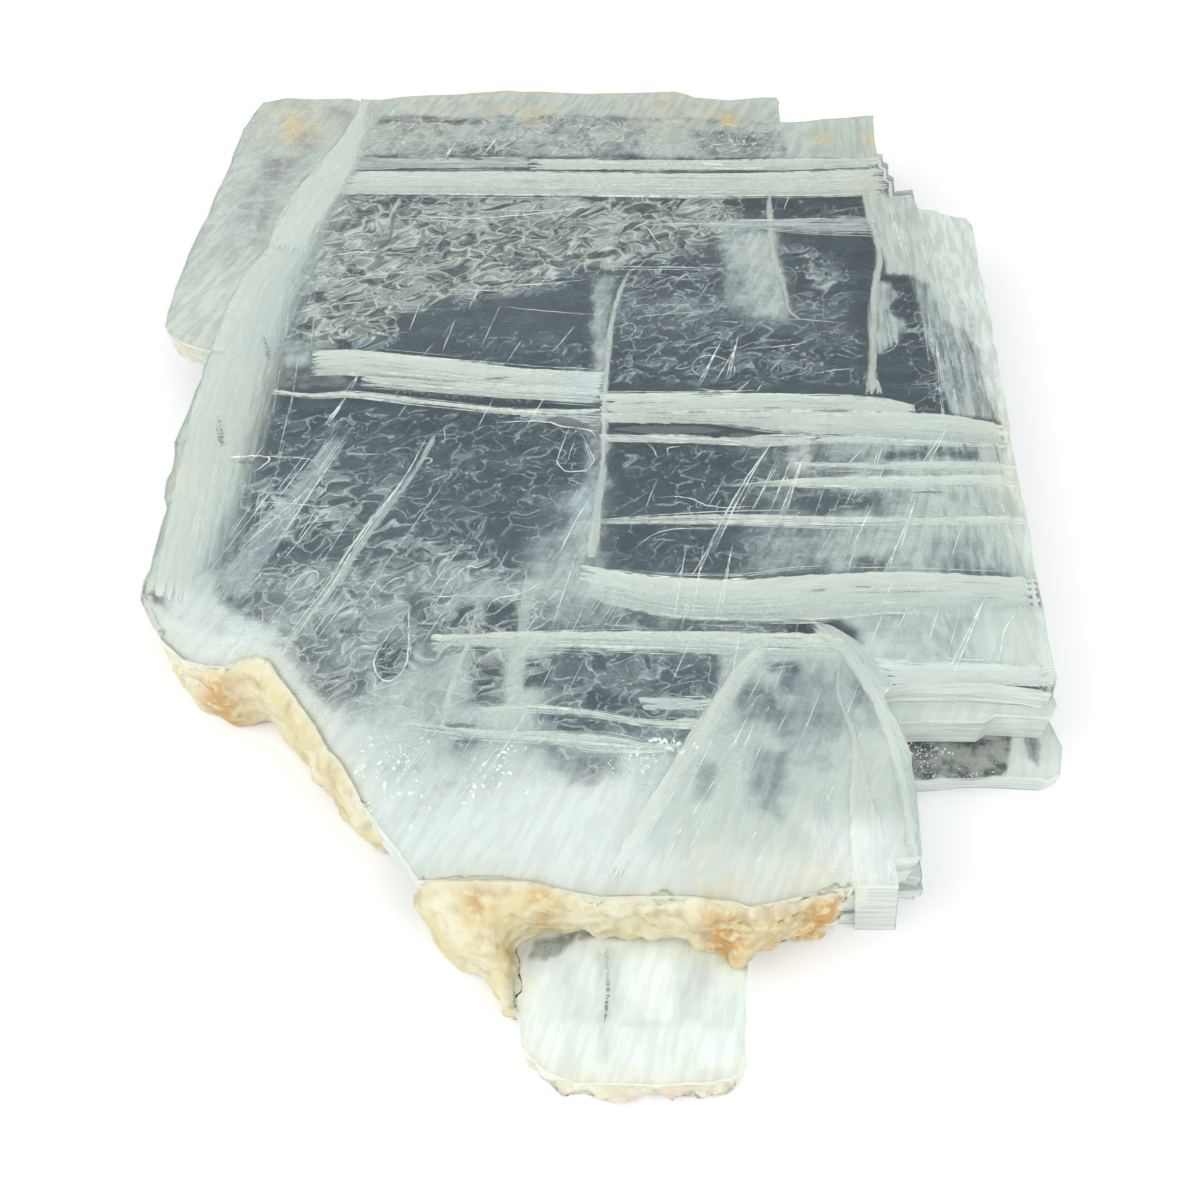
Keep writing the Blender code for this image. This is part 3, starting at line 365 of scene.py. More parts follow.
# Cleavage edges that cross everything: a line, how far to its right a second line runs (0: none), fill between
# them, thickness, mm
LAMELLAE = [
    ([(64, 73), (50, 50), (36, 20)], 3.0, 0.3, 0.6), ([(39, 25), (31, 10)], 2.0, 0.3, 0.5),
    ([(65, 65), (54, 39)], 0, 0, 0.45),
    ([(70, 64), (60, 39)], 0, 0, 0.6), ([(74, 64), (63, 37)], 2.2, 0.5, 0.6), ([(46, 57), (38, 40)], 0, 0, 0.35),
    ([(21, 55), (16, 40)], 0, 0, 0.35), ([(96, 68), (89, 60)], 0, 0, 0.4), ([(102, 68), (99, 60)], 0, 0, 0.4),
    ([(104, 70), (100, 60)], 0, 0, 0.4), ([(129, 79), (116, 60)], 3.0, 0.3, 0.45), ([(97, 43), (86, 20)], 0, 0, 0.5),
    ([(112, 44), (101, 20)], 1.6, 0.35, 0.5), ([(89, 25), (84, 12)], 0, 0, 0.4), ([(103, 25), (96, 11)], 1.4, 0.3, 0.4),
    ([(100, 10), (92, -5)], 0, 0, 0.3), ([(128, 0), (110, -30)], 2.4, 0.4, 0.6),
    ([(48, 127), (37, 101)], 1.2, 0.25, 0.5),
    ([(53, 122), (44, 103)], 0, 0, 0.5), ([(55, 130), (48, 104)], 1.4, 0.2, 0.5), ([(58, 105), (52, 97)], 0, 0, 0.4),
    ([(56, 103), (50, 96)], 0, 0, 0.4), ([(63, 104), (59, 97)], 0, 0, 0.35),
    ([(-10, 136), (-14, 128), (-19, 120)], 0, 0, 0.45),
    ([(-31, 127), (-37, 113)], 0, 0, 0.5), ([(-40, 150), (-47, 122)], 0, 0, 0.35),
    ([(-73, 150), (-76, 132)], 0, 0, 0.5),
    ([(-58, 140), (-62, 120)], 0, 0, 0.5), ([(-93, 108), (-97, 99)], 1.8, 0.4, 0.5),
    ([(-96, 97), (-103, 80)], 1.6, 0.5, 0.7),
    ([(-73, 92), (-76, 84)], 0, 0, 0.5), ([(-93, 75), (-113, 20)], 0, 0, 0.6), ([(-100, 55), (-125, 20)], 0, 0, 0.5),
    ([(-100, 40), (-105, 25)], 0, 0, 0.3), ([(-96, 42), (-103, 28)], 0, 0, 0.3), ([(46, -12), (42, -30)], 0, 0, 0.4),
    ([(30, 25), (24, -10)], 0, 0, 0.35), ([(36, 25), (30, -10)], 0, 0, 0.35), ([(46, 25), (38, -8)], 1.4, 0.2, 0.35),
    ([(-64, 75), (-70, 55), (-80, 35), (-87, 20), (-92, 5), (-100, -10), (-104, -22)], 2.8, 0.2, 0.5),
    ([(-66, 262), (-72, 246)], 1.2, 0.3, 0.6), ([(-48, 264), (-54, 250)], 1.0, 0.2, 0.7),
    ([(-97, 291), (-99, 282)], 0, 0, 0.6),
    ([(-50, 158), (-53, 146)], 0, 0, 0.5), ([(-20, 98), (-28, 78)], 0, 0, 0.4), ([(-40, 96), (-46, 78)], 0, 0, 0.4),
    ([(-116, 250), (-124, 226)], 0, 0, 0.3), ([(84, 222), (80, 210)], 0, 0, 0.4), ([(-8, 20), (-16, -12)], 0, 0, 0.4),
]

# Needle bundles: middle, half spread in x and y, count, shortest and longest, angle from +x, thickness, mm
NEEDLES = [
    (62, 53, 18, 14, 14, 5, 24, 66, 0.34), (-112, 46, 14, 24, 22, 10, 50, 67, 0.4),
    (-86, 30, 22, 30, 16, 10, 60, 67, 0.36), (-60, 20, 30, 30, 14, 8, 40, 66, 0.3),
    (100, 40, 26, 18, 16, 5, 20, 66, 0.32), (108, -16, 24, 10, 16, 5, 20, 66, 0.4),
    (60, -60, 20, 30, 16, 8, 30, 64, 0.34), (30, -70, 16, 20, 16, 8, 34, 62, 0.4),
    (137, 110, 9, 24, 40, 10, 46, 87, 0.42), (130, 190, 9, 24, 26, 10, 44, 90, 0.42),
    (145, 40, 4, 50, 20, 12, 40, 91, 0.4),
    (-120, 110, 8, 90, 24, 10, 50, 93, 0.34), (-142, 80, 8, 60, 22, 12, 50, 92, 0.36),
    (-10, 120, 70, 22, 18, 4, 14, 66, 0.26), (20, -20, 40, 20, 18, 5, 20, 68, 0.3),
    (-60, -60, 40, 26, 30, 6, 26, 62, 0.4), (0, 262, 90, 14, 40, 5, 14, 62, 0.34),
    (-60, 180, 50, 34, 26, 4, 12, 50, 0.3),
    (70, 180, 34, 30, 16, 6, 24, 86, 0.28), (-100, 0, 20, 16, 20, 8, 34, 65, 0.34),
    (-10, 0, 40, 12, 20, 4, 16, 60, 0.3),
]

# White flakes: middle, half spread in x and y, count, size in mm
FLAKES = [(-62, -64, 14, 18, 70, 2.0), (-34, -66, 12, 10, 36, 1.8), (20, -55, 8, 4, 30, 2.2), (14, -61, 6, 5, 20, 2.0),
          (3, -62, 2, 3, 6, 1.0),
          (-74, -62, 6, 10, 24, 0.8), (-28, -56, 5, 3, 12, 1.2), (48, -98, 16, 4, 24, 0.8), (62, 262, 10, 7, 50, 1.2),
          (70, 262, 7, 9, 40, 1.2), (-145, 111, 14, 30, 10, 0.8), (55, 262, 16, 8, 90, 0.6),
          (-55, 250, 16, 6, 50, 0.5), (-60, 180, 50, 34, 60, 0.4), (30, 190, 30, 24, 40, 0.4),
          (-86, -40, 10, 16, 24, 0.5),
          (88, 178, 14, 18, 24, 0.5), (20, 288, 60, 6, 40, 0.5), (122, -20, 10, 8, 12, 0.4)]

# The low sheet in front: haze on the tab and on the shelf, as HAZE, on the tab's and shelf's own top face
LOW_HAZE = [([(-200, 320), (200, 320), (200, -200), (-200, -200)], 0.96, 1.0)]
# Whiter places on the low sheet: the broad ones are its own colour, and the small crisp bright facets on the tab are
# painted light. Outline, strength, softness in mm
LOW_WHITE_AND_LIT_FACETS = [
    ([(-60, -100), (50, -100), (50, -175), (-60, -175)], 0.62, 3.0),
    ([(8, -119), (19, -119), (20, -138), (13, -138.5), (7, -131)], 0.85, 0.4),
    ([(-20, -122), (-13, -121), (-9, -146), (-13, -158), (-21, -152), (-27, -130)], 0.5, 0.8),
    ([(24, -141.5), (36, -140.5), (37, -151), (25, -150)], 0.9, 0.4),
    ([(-8, -140), (3, -138), (12, -141), (22, -139), (21, -151), (-6, -151)], 0.4, 0.5),
    ([(-8, -153), (21, -152), (18, -157), (-6, -158)], 0.55, 0.5),
    ([(80, -60), (160, -60), (160, -90), (80, -90)], 0.3, 2.0),
]
LOW_WINDOWS = [([(131.5, -47), (134, -47), (135, -55), (133, -62), (130, -60)], 0.5, 0.8)]
# Darker places on the low sheet, mostly painted shade: the shade under the upper plate on the shelf and under the front
# crust on the tab; the faint ones are the tab's own greyer places. Outline, strength, softness in mm
LOW_DIM_AND_SHADE = [
    ([(90, -53), (122, -52.5), (127, -48), (125, -57), (121, -65), (110, -67.5), (103, -65.5), (99, -67.5),
      (90, -66.5)], 0.9, 0.5),
    ([(90, -51), (125, -50.5), (124, -56.5), (112, -57), (100, -56.5), (90, -57.5)], 0.6, 0.8),
    ([(131.5, -47), (134, -47), (135, -55), (133, -62), (130, -60)], 0.55, 0.8),
    ([(-19.5, -121), (-18.5, -116), (-6, -114), (-7, -118), (-10, -120.5), (-15, -122)], 0.74, 0.7),
    ([(-6, -117), (-5, -112), (7, -111.5), (7, -115), (0, -116)], 0.7, 0.6),
    ([(9, -114.6), (9, -111), (31, -111), (31, -114.2)], 0.45, 0.6),
    ([(-0.5, -119), (4.5, -118), (4, -139), (1, -149), (-1.5, -149)], 0.16, 0.8),
    ([(21, -119), (30, -119), (28, -138), (22, -137)], 0.14, 0.5),
    ([(-10, -128), (-6, -122), (-5, -136), (-9, -141)], 0.1, 1.0),
    ([(6, -137.6), (27, -137.2), (27, -138.8), (6, -139.2)], 0.1, 0.4),
]
LOW_GAPS = [([(1.6, -117), (2.4, -128), (1.2, -140)], 1.3, 0.75), ([(94, -53.5), (108, -53.3), (123, -53.5)], 1.6, 0.2),
            ([(132.5, -47), (133, -53), (132, -60)], 2.0, 0.5)]
LOW_FLAKES = [(98, -60, 4, 9, 80, 1.0), (102, -57, 5, 2, 30, 1.1), (112, -65.5, 16, 1.6, 90, 0.7),
              (114, -60, 12, 8, 50, 0.5),
              (133, -55, 3, 8, 26, 0.6), (8, -130, 30, 20, 24, 0.5)]


class StoneSettings(bpy.types.PropertyGroup):
    """Sizes and finish of the clear crystal."""

    ior: FloatProperty(name="IOR", description="How strongly the gypsum bends light", default=1.52, min=1.0, max=3.0)
    roughness: FloatProperty(name="Roughness", description="Gloss of the cleavage faces", default=0.04,
                             subtype="FACTOR", min=0.0, max=1.0)
    dimming: FloatVectorProperty(name="Dimming", description="Light lost per metre in red, green and blue",
                                 default=(31.0, 26.0, 24.0), size=3)
    lamp_share: FloatProperty(name="Lamp share", description="Share of lamplight that goes straight in",
                              default=0.85, subtype="FACTOR", min=0.0, max=1.0)
    frost_inset: FloatProperty(name="Frost inset", description="How far inside the walls the frost lies",
                               default=0.0004, unit="LENGTH")


class VeilSettings(bpy.types.PropertyGroup):
    """Colours and spacing of what is inside the crystal."""

    pale: FloatVectorProperty(name="Pale", description="Colour of bands and veils", default=(0.56, 0.62, 0.56),
                              subtype="COLOR", size=3, min=0.0, max=1.0)
    white: FloatVectorProperty(name="White", description="Colour of the whitest veils", default=(0.73, 0.78, 0.745),
                               subtype="COLOR", size=3, min=0.0, max=1.0)
    blue: FloatVectorProperty(name="Blue", description="Colour of veils that scatter bluish light",
                              default=(0.50, 0.60, 0.64), subtype="COLOR", size=3, min=0.0, max=1.0)
    cream: FloatVectorProperty(name="Cream", description="Colour beside the crusts", default=(0.72, 0.70, 0.57),
                               subtype="COLOR", size=3, min=0.0, max=1.0)
    gap: FloatVectorProperty(name="Gap", description="Colour that shows in the gaps of a band",
                             default=(0.13, 0.155, 0.165), subtype="COLOR", size=3, min=0.0, max=1.0)
    stain: FloatVectorProperty(name="Stain", description="Colour of iron stain in cracks",
                               default=(0.74, 0.56, 0.26), subtype="COLOR", size=3, min=0.0, max=1.0)
    haze_depth: FloatProperty(name="Haze depth", description="Depth of the haze under the top face",
                              default=0.0018, unit="LENGTH")
    net_depth: FloatProperty(name="Net depth", description="Depth of the net of healed cracks", default=0.0013,
                             unit="LENGTH")
    cloud_depth: FloatProperty(name="Cloud depth", description="Depth of the faint clouds in the windows",
                               default=0.021, unit="LENGTH")
    grid: FloatProperty(name="Grid", description="Spacing of the points that carry the haze", default=0.002,
                        unit="LENGTH")
    seed: IntProperty(name="Seed", description="Seed of the needles", default=11, min=0)


class CrustSettings(bpy.types.PropertyGroup):
    """Colours and grain of the matrix crusts."""

    cream: FloatVectorProperty(name="Cream", description="Main colour of the crust", default=(0.55, 0.505, 0.30),
                               subtype="COLOR", size=3, min=0.0, max=1.0)
    white: FloatVectorProperty(name="White", description="Colour of its chalky parts", default=(0.60, 0.585, 0.44),
                               subtype="COLOR", size=3, min=0.0, max=1.0)
    ochre: FloatVectorProperty(name="Ochre", description="Colour of its rusty parts", default=(0.44, 0.245, 0.07),
                               subtype="COLOR", size=3, min=0.0, max=1.0)
    grain: FloatProperty(name="Grain", description="Size of the surface grain", default=0.0009, unit="LENGTH")


class StageSettings(bpy.types.PropertyGroup):
    """Floor, lamps and camera."""

    floor_shade: FloatProperty(name="Floor shade", description="Lightness of the floor", default=0.8,
                               subtype="FACTOR", min=0.0, max=1.0)
    sky: FloatProperty(name="Sky", description="Strength of the even light", default=0.85, min=0.0)
    key: FloatProperty(name="Key", description="Power of the main lamp in watts", default=22.0, min=0.0)
    fill: FloatProperty(name="Fill", description="Power of the second lamp in watts", default=11.0, min=0.0)
    front: FloatProperty(name="Front", description="Power of the lamp before the slab in watts", default=14.0,
                         min=0.0)
    eye_distance: FloatProperty(name="Eye distance", description="From the camera to the top face", default=0.4,
                                unit="LENGTH")
    eye_angle: FloatProperty(name="Eye angle", description="Camera's height above the horizon",
                             default=math.radians(54), unit="ROTATION")


def seen_at(x, y, depth, top=TOP):
    """The row-frame point at this depth, mm, under a top face that shows at plan point (x, y) from the viewer's
    place."""
    drop = EYE_HEIGHT + TOP - top
    reach = drop / EYE_HEIGHT
    x, y = EYE_X + (x - EYE_X) * reach, EYE_Y + (y - EYE_Y) * reach
    away = math.hypot(x - EYE_X, y - EYE_Y)
    sine = math.sin(math.atan2(away, drop)) / SIGHT_IOR
    shift = depth * math.tan(math.asin(sine)) / away
    return Vector(((x + (x - EYE_X) * shift - CENTRE_X) * MM, (y + (y - EYE_Y) * shift - CENTRE_Y) * MM,
                   (top - depth) * MM))


def plan_of(points, depth, top=TOP):
    """Plan points where row-frame points at this depth show: the reverse of seen_at, as an array of x and y."""
    drop = EYE_HEIGHT + TOP - top
    flat = np.array(points)[:, :2] / MM + (CENTRE_X, CENTRE_Y)
    plan = flat.copy()
    for _ in range(4):
        offset = plan - (EYE_X, EYE_Y)
        away = np.hypot(offset[:, 0], offset[:, 1])
        sine = np.sin(np.arctan2(away, drop)) / SIGHT_IOR
        plan = flat - offset * (depth * np.tan(np.arcsin(sine)) / away)[:, None]
    return (plan - (EYE_X, EYE_Y)) * EYE_HEIGHT / drop + (EYE_X, EYE_Y)


def depth_inside(points, outline):
    """Distance of each point into a closed outline: above 0 inside, below 0 outside."""
    px, py = points[:, 0], points[:, 1]
    nearest = np.full(len(points), 1e9)
    inside = np.zeros(len(points), bool)
    for (x0, y0), (x1, y1) in zip(outline, outline[1:] + outline[:1]):
        dx, dy = x1 - x0, y1 - y0
        t = np.clip(((px - x0) * dx + (py - y0) * dy) / (dx * dx + dy * dy + 1e-9), 0, 1)
        nearest = np.minimum(nearest, np.hypot(px - x0 - t * dx, py - y0 - t * dy))
        if y0 != y1:
            crosses = (y0 > py) != (y1 > py)
            inside ^= crosses & (px < x0 + (py - y0) / (y1 - y0) * dx)
    return np.where(inside, nearest, -nearest)


def soft_patches(points, patches):
    """How opaque each point is under a list of soft patches."""
    clear = np.ones(len(points))
    for outline, opacity, softness in patches:
        edge = np.clip(depth_inside(points, outline) / (2 * softness) + 0.5, 0, 1)
        clear *= 1 - opacity * edge * edge * (3 - 2 * edge)
    return 1 - clear


def soft_spots(points, spots):
    clear = np.ones(len(points))
    for x, y, radius, strength in spots:
        gap = np.hypot(points[:, 0] - x, points[:, 1] - y) / radius
        clear *= 1 - strength * np.exp(-gap * gap)
    return 1 - clear


def wavy(plan, wide=2.2, small=1.0):
    """Plan points pushed about by a smooth noise, so that what is drawn with straight outlines gets natural ones."""
    moved = plan.copy()
    for k, (x, y) in enumerate(plan):
        for size, reach in ((13.0, wide), (4.5, small)):
            spot = Vector((x / size, y / size, size))
            moved[k] += (reach * noise.noise(spot), reach * noise.noise(spot + Vector((9.0, 5.0, 3.0))))
    return moved


def haze_at(plan):
    """Opacity of the haze at plan points, with its clearer places."""
    return soft_patches(plan, HAZE) * (1 - soft_patches(plan, WINDOWS))


def crust_share(points, reach):
    """How near a crust each row-frame point is: 1 on it, 0 further off than the reach in mm."""
    trees = []
    for node in ("left_crust", "front_crust", "tip_crust"):
        shape = bmesh.new()
        shape.from_mesh(NODES[node].data)
        trees.append(BVHTree.FromBMesh(shape))
        shape.free()
    gaps = [min(tree.find_nearest(Vector(point))[3] for tree in trees) for point in points]
    return np.clip(1 - np.array(gaps) / (reach * MM), 0, 1)


def add_tints(mesh, plan, whites=None):
    """Keeps the colour of each point, bluish where the veil is thin, and how stained it is."""
    rim = crust_share([v.co for v in mesh.vertices], 7.0)
    veil = np.empty(len(mesh.vertices))
    mesh.attributes["veil"].data.foreach_get("value", veil)
    part = np.clip((veil - 0.45) / 0.5, 0, 1)
    thin = 0.55 * (1 - part * part * (3 - 2 * part))
    add_tint(mesh, soft_patches(plan, whites or WHITE), np.maximum(soft_patches(plan, BLUE), thin), 0.75 * rim)
    add_point_values(mesh, stain=np.clip(soft_spots(plan, STAINS), 0, 1))


def add_tint(mesh, white, blue, cream):
    veils = bpy.context.scene.selenite_veils
    colour = np.tile(np.array(veils.pale), (len(white), 1))
    for share, other in ((blue, veils.blue), (white, veils.white), (cream, veils.cream)):
        colour += (np.array(other) - colour) * np.asarray(share)[:, None]
    colour = np.column_stack([colour, np.ones(len(colour))]).astype(np.float32)
    mesh.attributes.new("tint", "FLOAT_COLOR", "POINT").data.foreach_set("color", colour.ravel())


class CrystalInside:
    """Tells whether points lie inside the clear crystal."""

    def __init__(self):
        shape = bmesh.new()
        shape.from_mesh(merged_copy("selenite_slab", "inside_test"))
        self.tree = BVHTree.FromBMesh(shape)
        shape.free()

    def holds(self, point, margin=0.2 * MM):
        near, normal, _, gap = self.tree.find_nearest(point)
        return (near - point).dot(normal) > 0 and gap > margin

    def kept(self, point, reach=2.5 * MM, margin=0.25 * MM):
        """The point itself, the place just inside that is nearest to it, or nothing if it is too far out."""
        near, normal, _, gap = self.tree.find_nearest(point)
        if (near - point).dot(normal) > 0 and gap > margin:
            return point
        return near - normal * margin if gap < reach else None


def resampled(points, count):
    """A line's points again at even steps, with every other value they carry."""
    line = np.array(points, float)
    steps = np.hypot(*np.diff(line[:, :2], axis=0).T)
    along = np.concatenate([[0], np.cumsum(steps)])
    wanted = np.linspace(0, along[-1], count)
    return np.stack([np.interp(wanted, along, column) for column in line.T], 1), along[-1]


def rounded(points, passes=2):
    """A line with its corners cut, so that it bends smoothly."""
    line = np.array(points, float)
    for _ in range(passes):
        near = line[:-1] * 0.75 + line[1:] * 0.25
        far = line[:-1] * 0.25 + line[1:] * 0.75
        line = np.concatenate([line[:1], np.stack([near, far], 1).reshape(-1, line.shape[1]), line[-1:]])
    return line


def new_piece(name, mesh, material, replaced=(), sheer=False):
    """Links a finished mesh as a piece that rides on the slab. A sheer one casts no shadow."""
    mesh.materials.clear()
    mesh.materials.append(material)
    piece = bpy.data.objects.new(name, mesh)
    bpy.context.scene.collection.objects.link(piece)
    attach(piece, BODY)
    if replaced:
        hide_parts(*replaced)
    piece.visible_shadow = not sheer
    return piece


def merged_copy(node_name, name):
    """A CAD node's mesh with its loose triangles joined."""
    mesh = NODES[node_name].data.copy()
    mesh.name = name
    shape = bmesh.new()
    shape.from_mesh(mesh)
    bmesh.ops.remove_doubles(shape, verts=shape.verts, dist=0.00001)
    shape.to_mesh(mesh)
    shape.free()
    return mesh


def add_point_values(mesh, **columns):
    for label, values in columns.items():
        attribute = mesh.attributes.new(label, "FLOAT", "POINT")
        attribute.data.foreach_set("value", np.asarray(values, np.float32))


def add_node(tree, kind, inputs=None, **settings):
    """A node with its settings; each input is a value or another node's output."""
    made = tree.nodes.new(kind)
    for label, value in settings.items():
        setattr(made, label, value)
    for socket, value in (inputs or {}).items():
        if isinstance(value, bpy.types.NodeSocket):
            tree.links.new(value, made.inputs[socket])
        else:
            made.inputs[socket].default_value = value
    return made


def maths(tree, operation, first, second=0.0, third=0.0, clamp=False):
    inputs = {0: first, 1: second}
    if operation in ("MULTIPLY_ADD", "SMOOTH_MIN"):
        inputs[2] = third
    return add_node(tree, "ShaderNodeMath", inputs, operation=operation, use_clamp=clamp).outputs[0]


def vector_maths(tree, operation, first, second):
    """The second is the factor of a SCALE, and otherwise a vector."""
    return add_node(tree, "ShaderNodeVectorMath", {0: first, "Scale" if operation == "SCALE" else 1: second},
                    operation=operation).outputs[0]


def object_place(tree):
    return add_node(tree, "ShaderNodeTexCoord").outputs["Object"]


def solid_noise(tree, place, scale, detail, rough=0.5):
    return add_node(tree, "ShaderNodeTexNoise", {"Vector": place, "Scale": scale, "Detail": detail,
                                                 "Roughness": rough}).outputs["Fac"]


def flat_noise(tree, place, scale, detail, rough=0.6):
    """Noise for a level sheet or a map: it varies along two of its axes."""
    return add_node(tree, "ShaderNodeTexNoise", {"Vector": place, "Scale": scale, "Detail": detail, "Roughness": rough},
                    noise_dimensions="2D").outputs["Fac"]


def ramp(tree, value, low, high, to_low=0.0, to_high=1.0):
    made = add_node(tree, "ShaderNodeMapRange", {"Value": value, "From Min": low, "From Max": high,
                                                 "To Min": to_low, "To Max": to_high},
                    interpolation_type="SMOOTHSTEP")
    return made.outputs["Result"]


def mix_colour(tree, share, first, second):
    made = add_node(tree, "ShaderNodeMix", data_type="RGBA")
    sockets = {s.identifier: s for s in made.inputs}
    for label, value in (("Factor_Float", share), ("A_Color", first), ("B_Color", second)):
        if isinstance(value, bpy.types.NodeSocket):
            tree.links.new(value, sockets[label])
        else:
            sockets[label].default_value = value
    return next(s for s in made.outputs if s.identifier == "Result_Color")


def mix_value(tree, share, first, second):
    made = add_node(tree, "ShaderNodeMix", data_type="FLOAT")
    for place, value in enumerate((share, first, second)):
        socket = [s for s in made.inputs if s.identifier in ("Factor_Float", "A_Float", "B_Float")][place]
        if isinstance(value, bpy.types.NodeSocket):
            tree.links.new(value, socket)
        else:
            socket.default_value = value
    return next(s for s in made.outputs if s.identifier == "Result_Float")


def point_value(tree, label):
    return add_node(tree, "ShaderNodeAttribute", attribute_name=label).outputs["Fac"]


def new_material(name, rough, colour=None):
    """A material with its shader's roughness and, where it is plain, its colour."""
    material = bpy.data.materials.new(name)
    material.use_nodes = True
    shader = material.node_tree.nodes["Principled BSDF"]
    shader.inputs["Roughness"].default_value = rough
    if colour:
        shader.inputs["Base Color"].default_value = (*colour, 1.0)
    return material, material.node_tree, shader


def new_group(name, inputs, outputs):
    """An empty shader group with its sockets. inputs: (label, type, default) rows; outputs: (label, type)."""
    tree = bpy.data.node_groups.new(name, "ShaderNodeTree")
    for label, kind, default in inputs:
        socket = tree.interface.new_socket(name=label, in_out="INPUT", socket_type=kind)
        if default is not None:
            socket.default_value = default
    for label, kind in outputs:
        tree.interface.new_socket(name=label, in_out="OUTPUT", socket_type=kind)
    return tree, tree.nodes.new("NodeGroupInput"), tree.nodes.new("NodeGroupOutput")


def streak_group():
    """Fibrous streaks in a flat plane: noise stretched by Stretch and turned by Turn."""
    name = "cleavage_streaks"
    if name in bpy.data.node_groups:
        return bpy.data.node_groups[name]
    tree, start, end = new_group(
        name, [("Vector", "NodeSocketVector", None), ("Stretch", "NodeSocketVector", (60.0, 500.0, 60.0)),
               ("Turn", "NodeSocketFloat", 0.0)], [("Streak", "NodeSocketFloat")])
    turned = add_node(tree, "ShaderNodeVectorRotate", {"Vector": start.outputs["Vector"],
                                                       "Angle": start.outputs["Turn"]}, rotation_type="Z_AXIS")
    stretched = vector_maths(tree, "MULTIPLY", turned.outputs[0], start.outputs["Stretch"])
    tree.links.new(flat_noise(tree, stretched, 1.0, 2.0, 0.62), end.inputs["Streak"])
    return tree


def foil_group():
    """Crumpled foil of healed cracks: dark cells of two sizes in a milky ground, and bright lines between them."""
    name = "crumpled_foil"
    if name in bpy.data.node_groups:
        return bpy.data.node_groups[name]
    tree, start, end = new_group(
        name, [("Vector", "NodeSocketVector", None), ("Milk", "NodeSocketFloat", 0.5)],
        [("Foil", "NodeSocketFloat")])
    turned = add_node(tree, "ShaderNodeVectorRotate", {"Vector": start.outputs["Vector"], "Angle": -0.38},
                      rotation_type="Z_AXIS").outputs[0]
    place = vector_maths(tree, "MULTIPLY", turned, (0.7, 1.15, 0.7))
    for size, reach in ((90.0, 0.012), (260.0, 0.004)):
        push = add_node(tree, "ShaderNodeTexNoise", {"Vector": place, "Scale": size, "Detail": 1.0},
                        noise_dimensions="2D").outputs["Color"]
        push = vector_maths(tree, "SCALE", vector_maths(tree, "SUBTRACT", push, (0.5, 0.5, 0.5)), reach)
        place = vector_maths(tree, "ADD", place, push)
    ground = maths(tree, "SUBTRACT", flat_noise(tree, place, 120.0, 3.0, 0.7), 0.5)
    value = maths(tree, "MULTIPLY_ADD", ground, 0.9, start.outputs["Milk"])
    for size, dark, bright in ((150.0, 0.42, 0.34), (350.0, 0.36, 0.28)):
        cells = [add_node(tree, "ShaderNodeTexVoronoi", {"Vector": place, "Scale": size}, voronoi_dimensions="2D",
                          feature=feature) for feature in ("DISTANCE_TO_EDGE", "F1")]
        rim = cells[0].outputs["Distance"]
        pick = add_node(tree, "ShaderNodeSeparateColor", {"Color": cells[1].outputs["Color"]}).outputs[0]
        cell = maths(tree, "MULTIPLY", ramp(tree, rim, 0.03, 0.24), ramp(tree, pick, 0.25, 0.75))
        value = maths(tree, "SUBTRACT", value, maths(tree, "MULTIPLY", cell, dark))
        value = maths(tree, "ADD", value, ramp(tree, rim, 0.01, 0.06, bright, 0.0))
    tree.links.new(value, end.inputs["Foil"])
    return tree


def tint_group():
    """Colour of what is inside the crystal, from the tint and stain that a mesh keeps at its points."""
    name = "veil_colour"
    if name in bpy.data.node_groups:
        return bpy.data.node_groups[name]
    veils = bpy.context.scene.selenite_veils
    tree, start, end = new_group(name, [("Patch", "NodeSocketFloat", 0.5)], [("Color", "NodeSocketColor")])
    colour = add_node(tree, "ShaderNodeAttribute", attribute_name="tint").outputs["Color"]
    stain = maths(tree, "MULTIPLY", point_value(tree, "stain"), ramp(tree, start.outputs["Patch"], 0.36, 0.6),
                  clamp=True)
    tree.links.new(mix_colour(tree, stain, colour, (*veils.stain, 1.0)), end.inputs["Color"])
    return tree


def streaks(tree, place, stretch, turn=0.0):
    return add_node(tree, "ShaderNodeGroup", {"Vector": place, "Stretch": stretch, "Turn": turn},
                    node_tree=streak_group()).outputs["Streak"]


def give_tint(tree, shader, patch, shade=None):
    """Gives a shader the colour that its mesh keeps, stained where patch is high and darkened by shade."""
    colour = add_node(tree, "ShaderNodeGroup", {"Patch": patch}, node_tree=tint_group()).outputs["Color"]
    if shade:
        colour = vector_maths(tree, "SCALE", colour, shade)
    tree.links.new(colour, shader.inputs["Base Color"])


def clear_material(settings):
    """Clear gypsum: glass that dims light by depth and lets lamplight reach what is inside."""
    material, tree, shader = new_material("clear_selenite", settings.roughness, (1.0, 1.0, 1.0))
    shader.inputs["Transmission Weight"].default_value = 1.0
    shader.inputs["IOR"].default_value = settings.ior
    most = max(settings.dimming)
    kept = [1 - value / most for value in settings.dimming]
    dimmer = add_node(tree, "ShaderNodeVolumeAbsorption", {"Color": (*kept, 1.0), "Density": most})
    rays = add_node(tree, "ShaderNodeLightPath")
    share = settings.lamp_share
    lamps = add_node(tree, "ShaderNodeBsdfTransparent", {"Color": (share, share, share, 1.0)})
    either = add_node(tree, "ShaderNodeMixShader", {0: rays.outputs["Is Shadow Ray"], 1: shader.outputs[0],
                                                    2: lamps.outputs[0]})
    output = tree.nodes["Material Output"]
    tree.links.new(either.outputs[0], output.inputs["Surface"])
    tree.links.new(dimmer.outputs[0], output.inputs["Volume"])
    return material


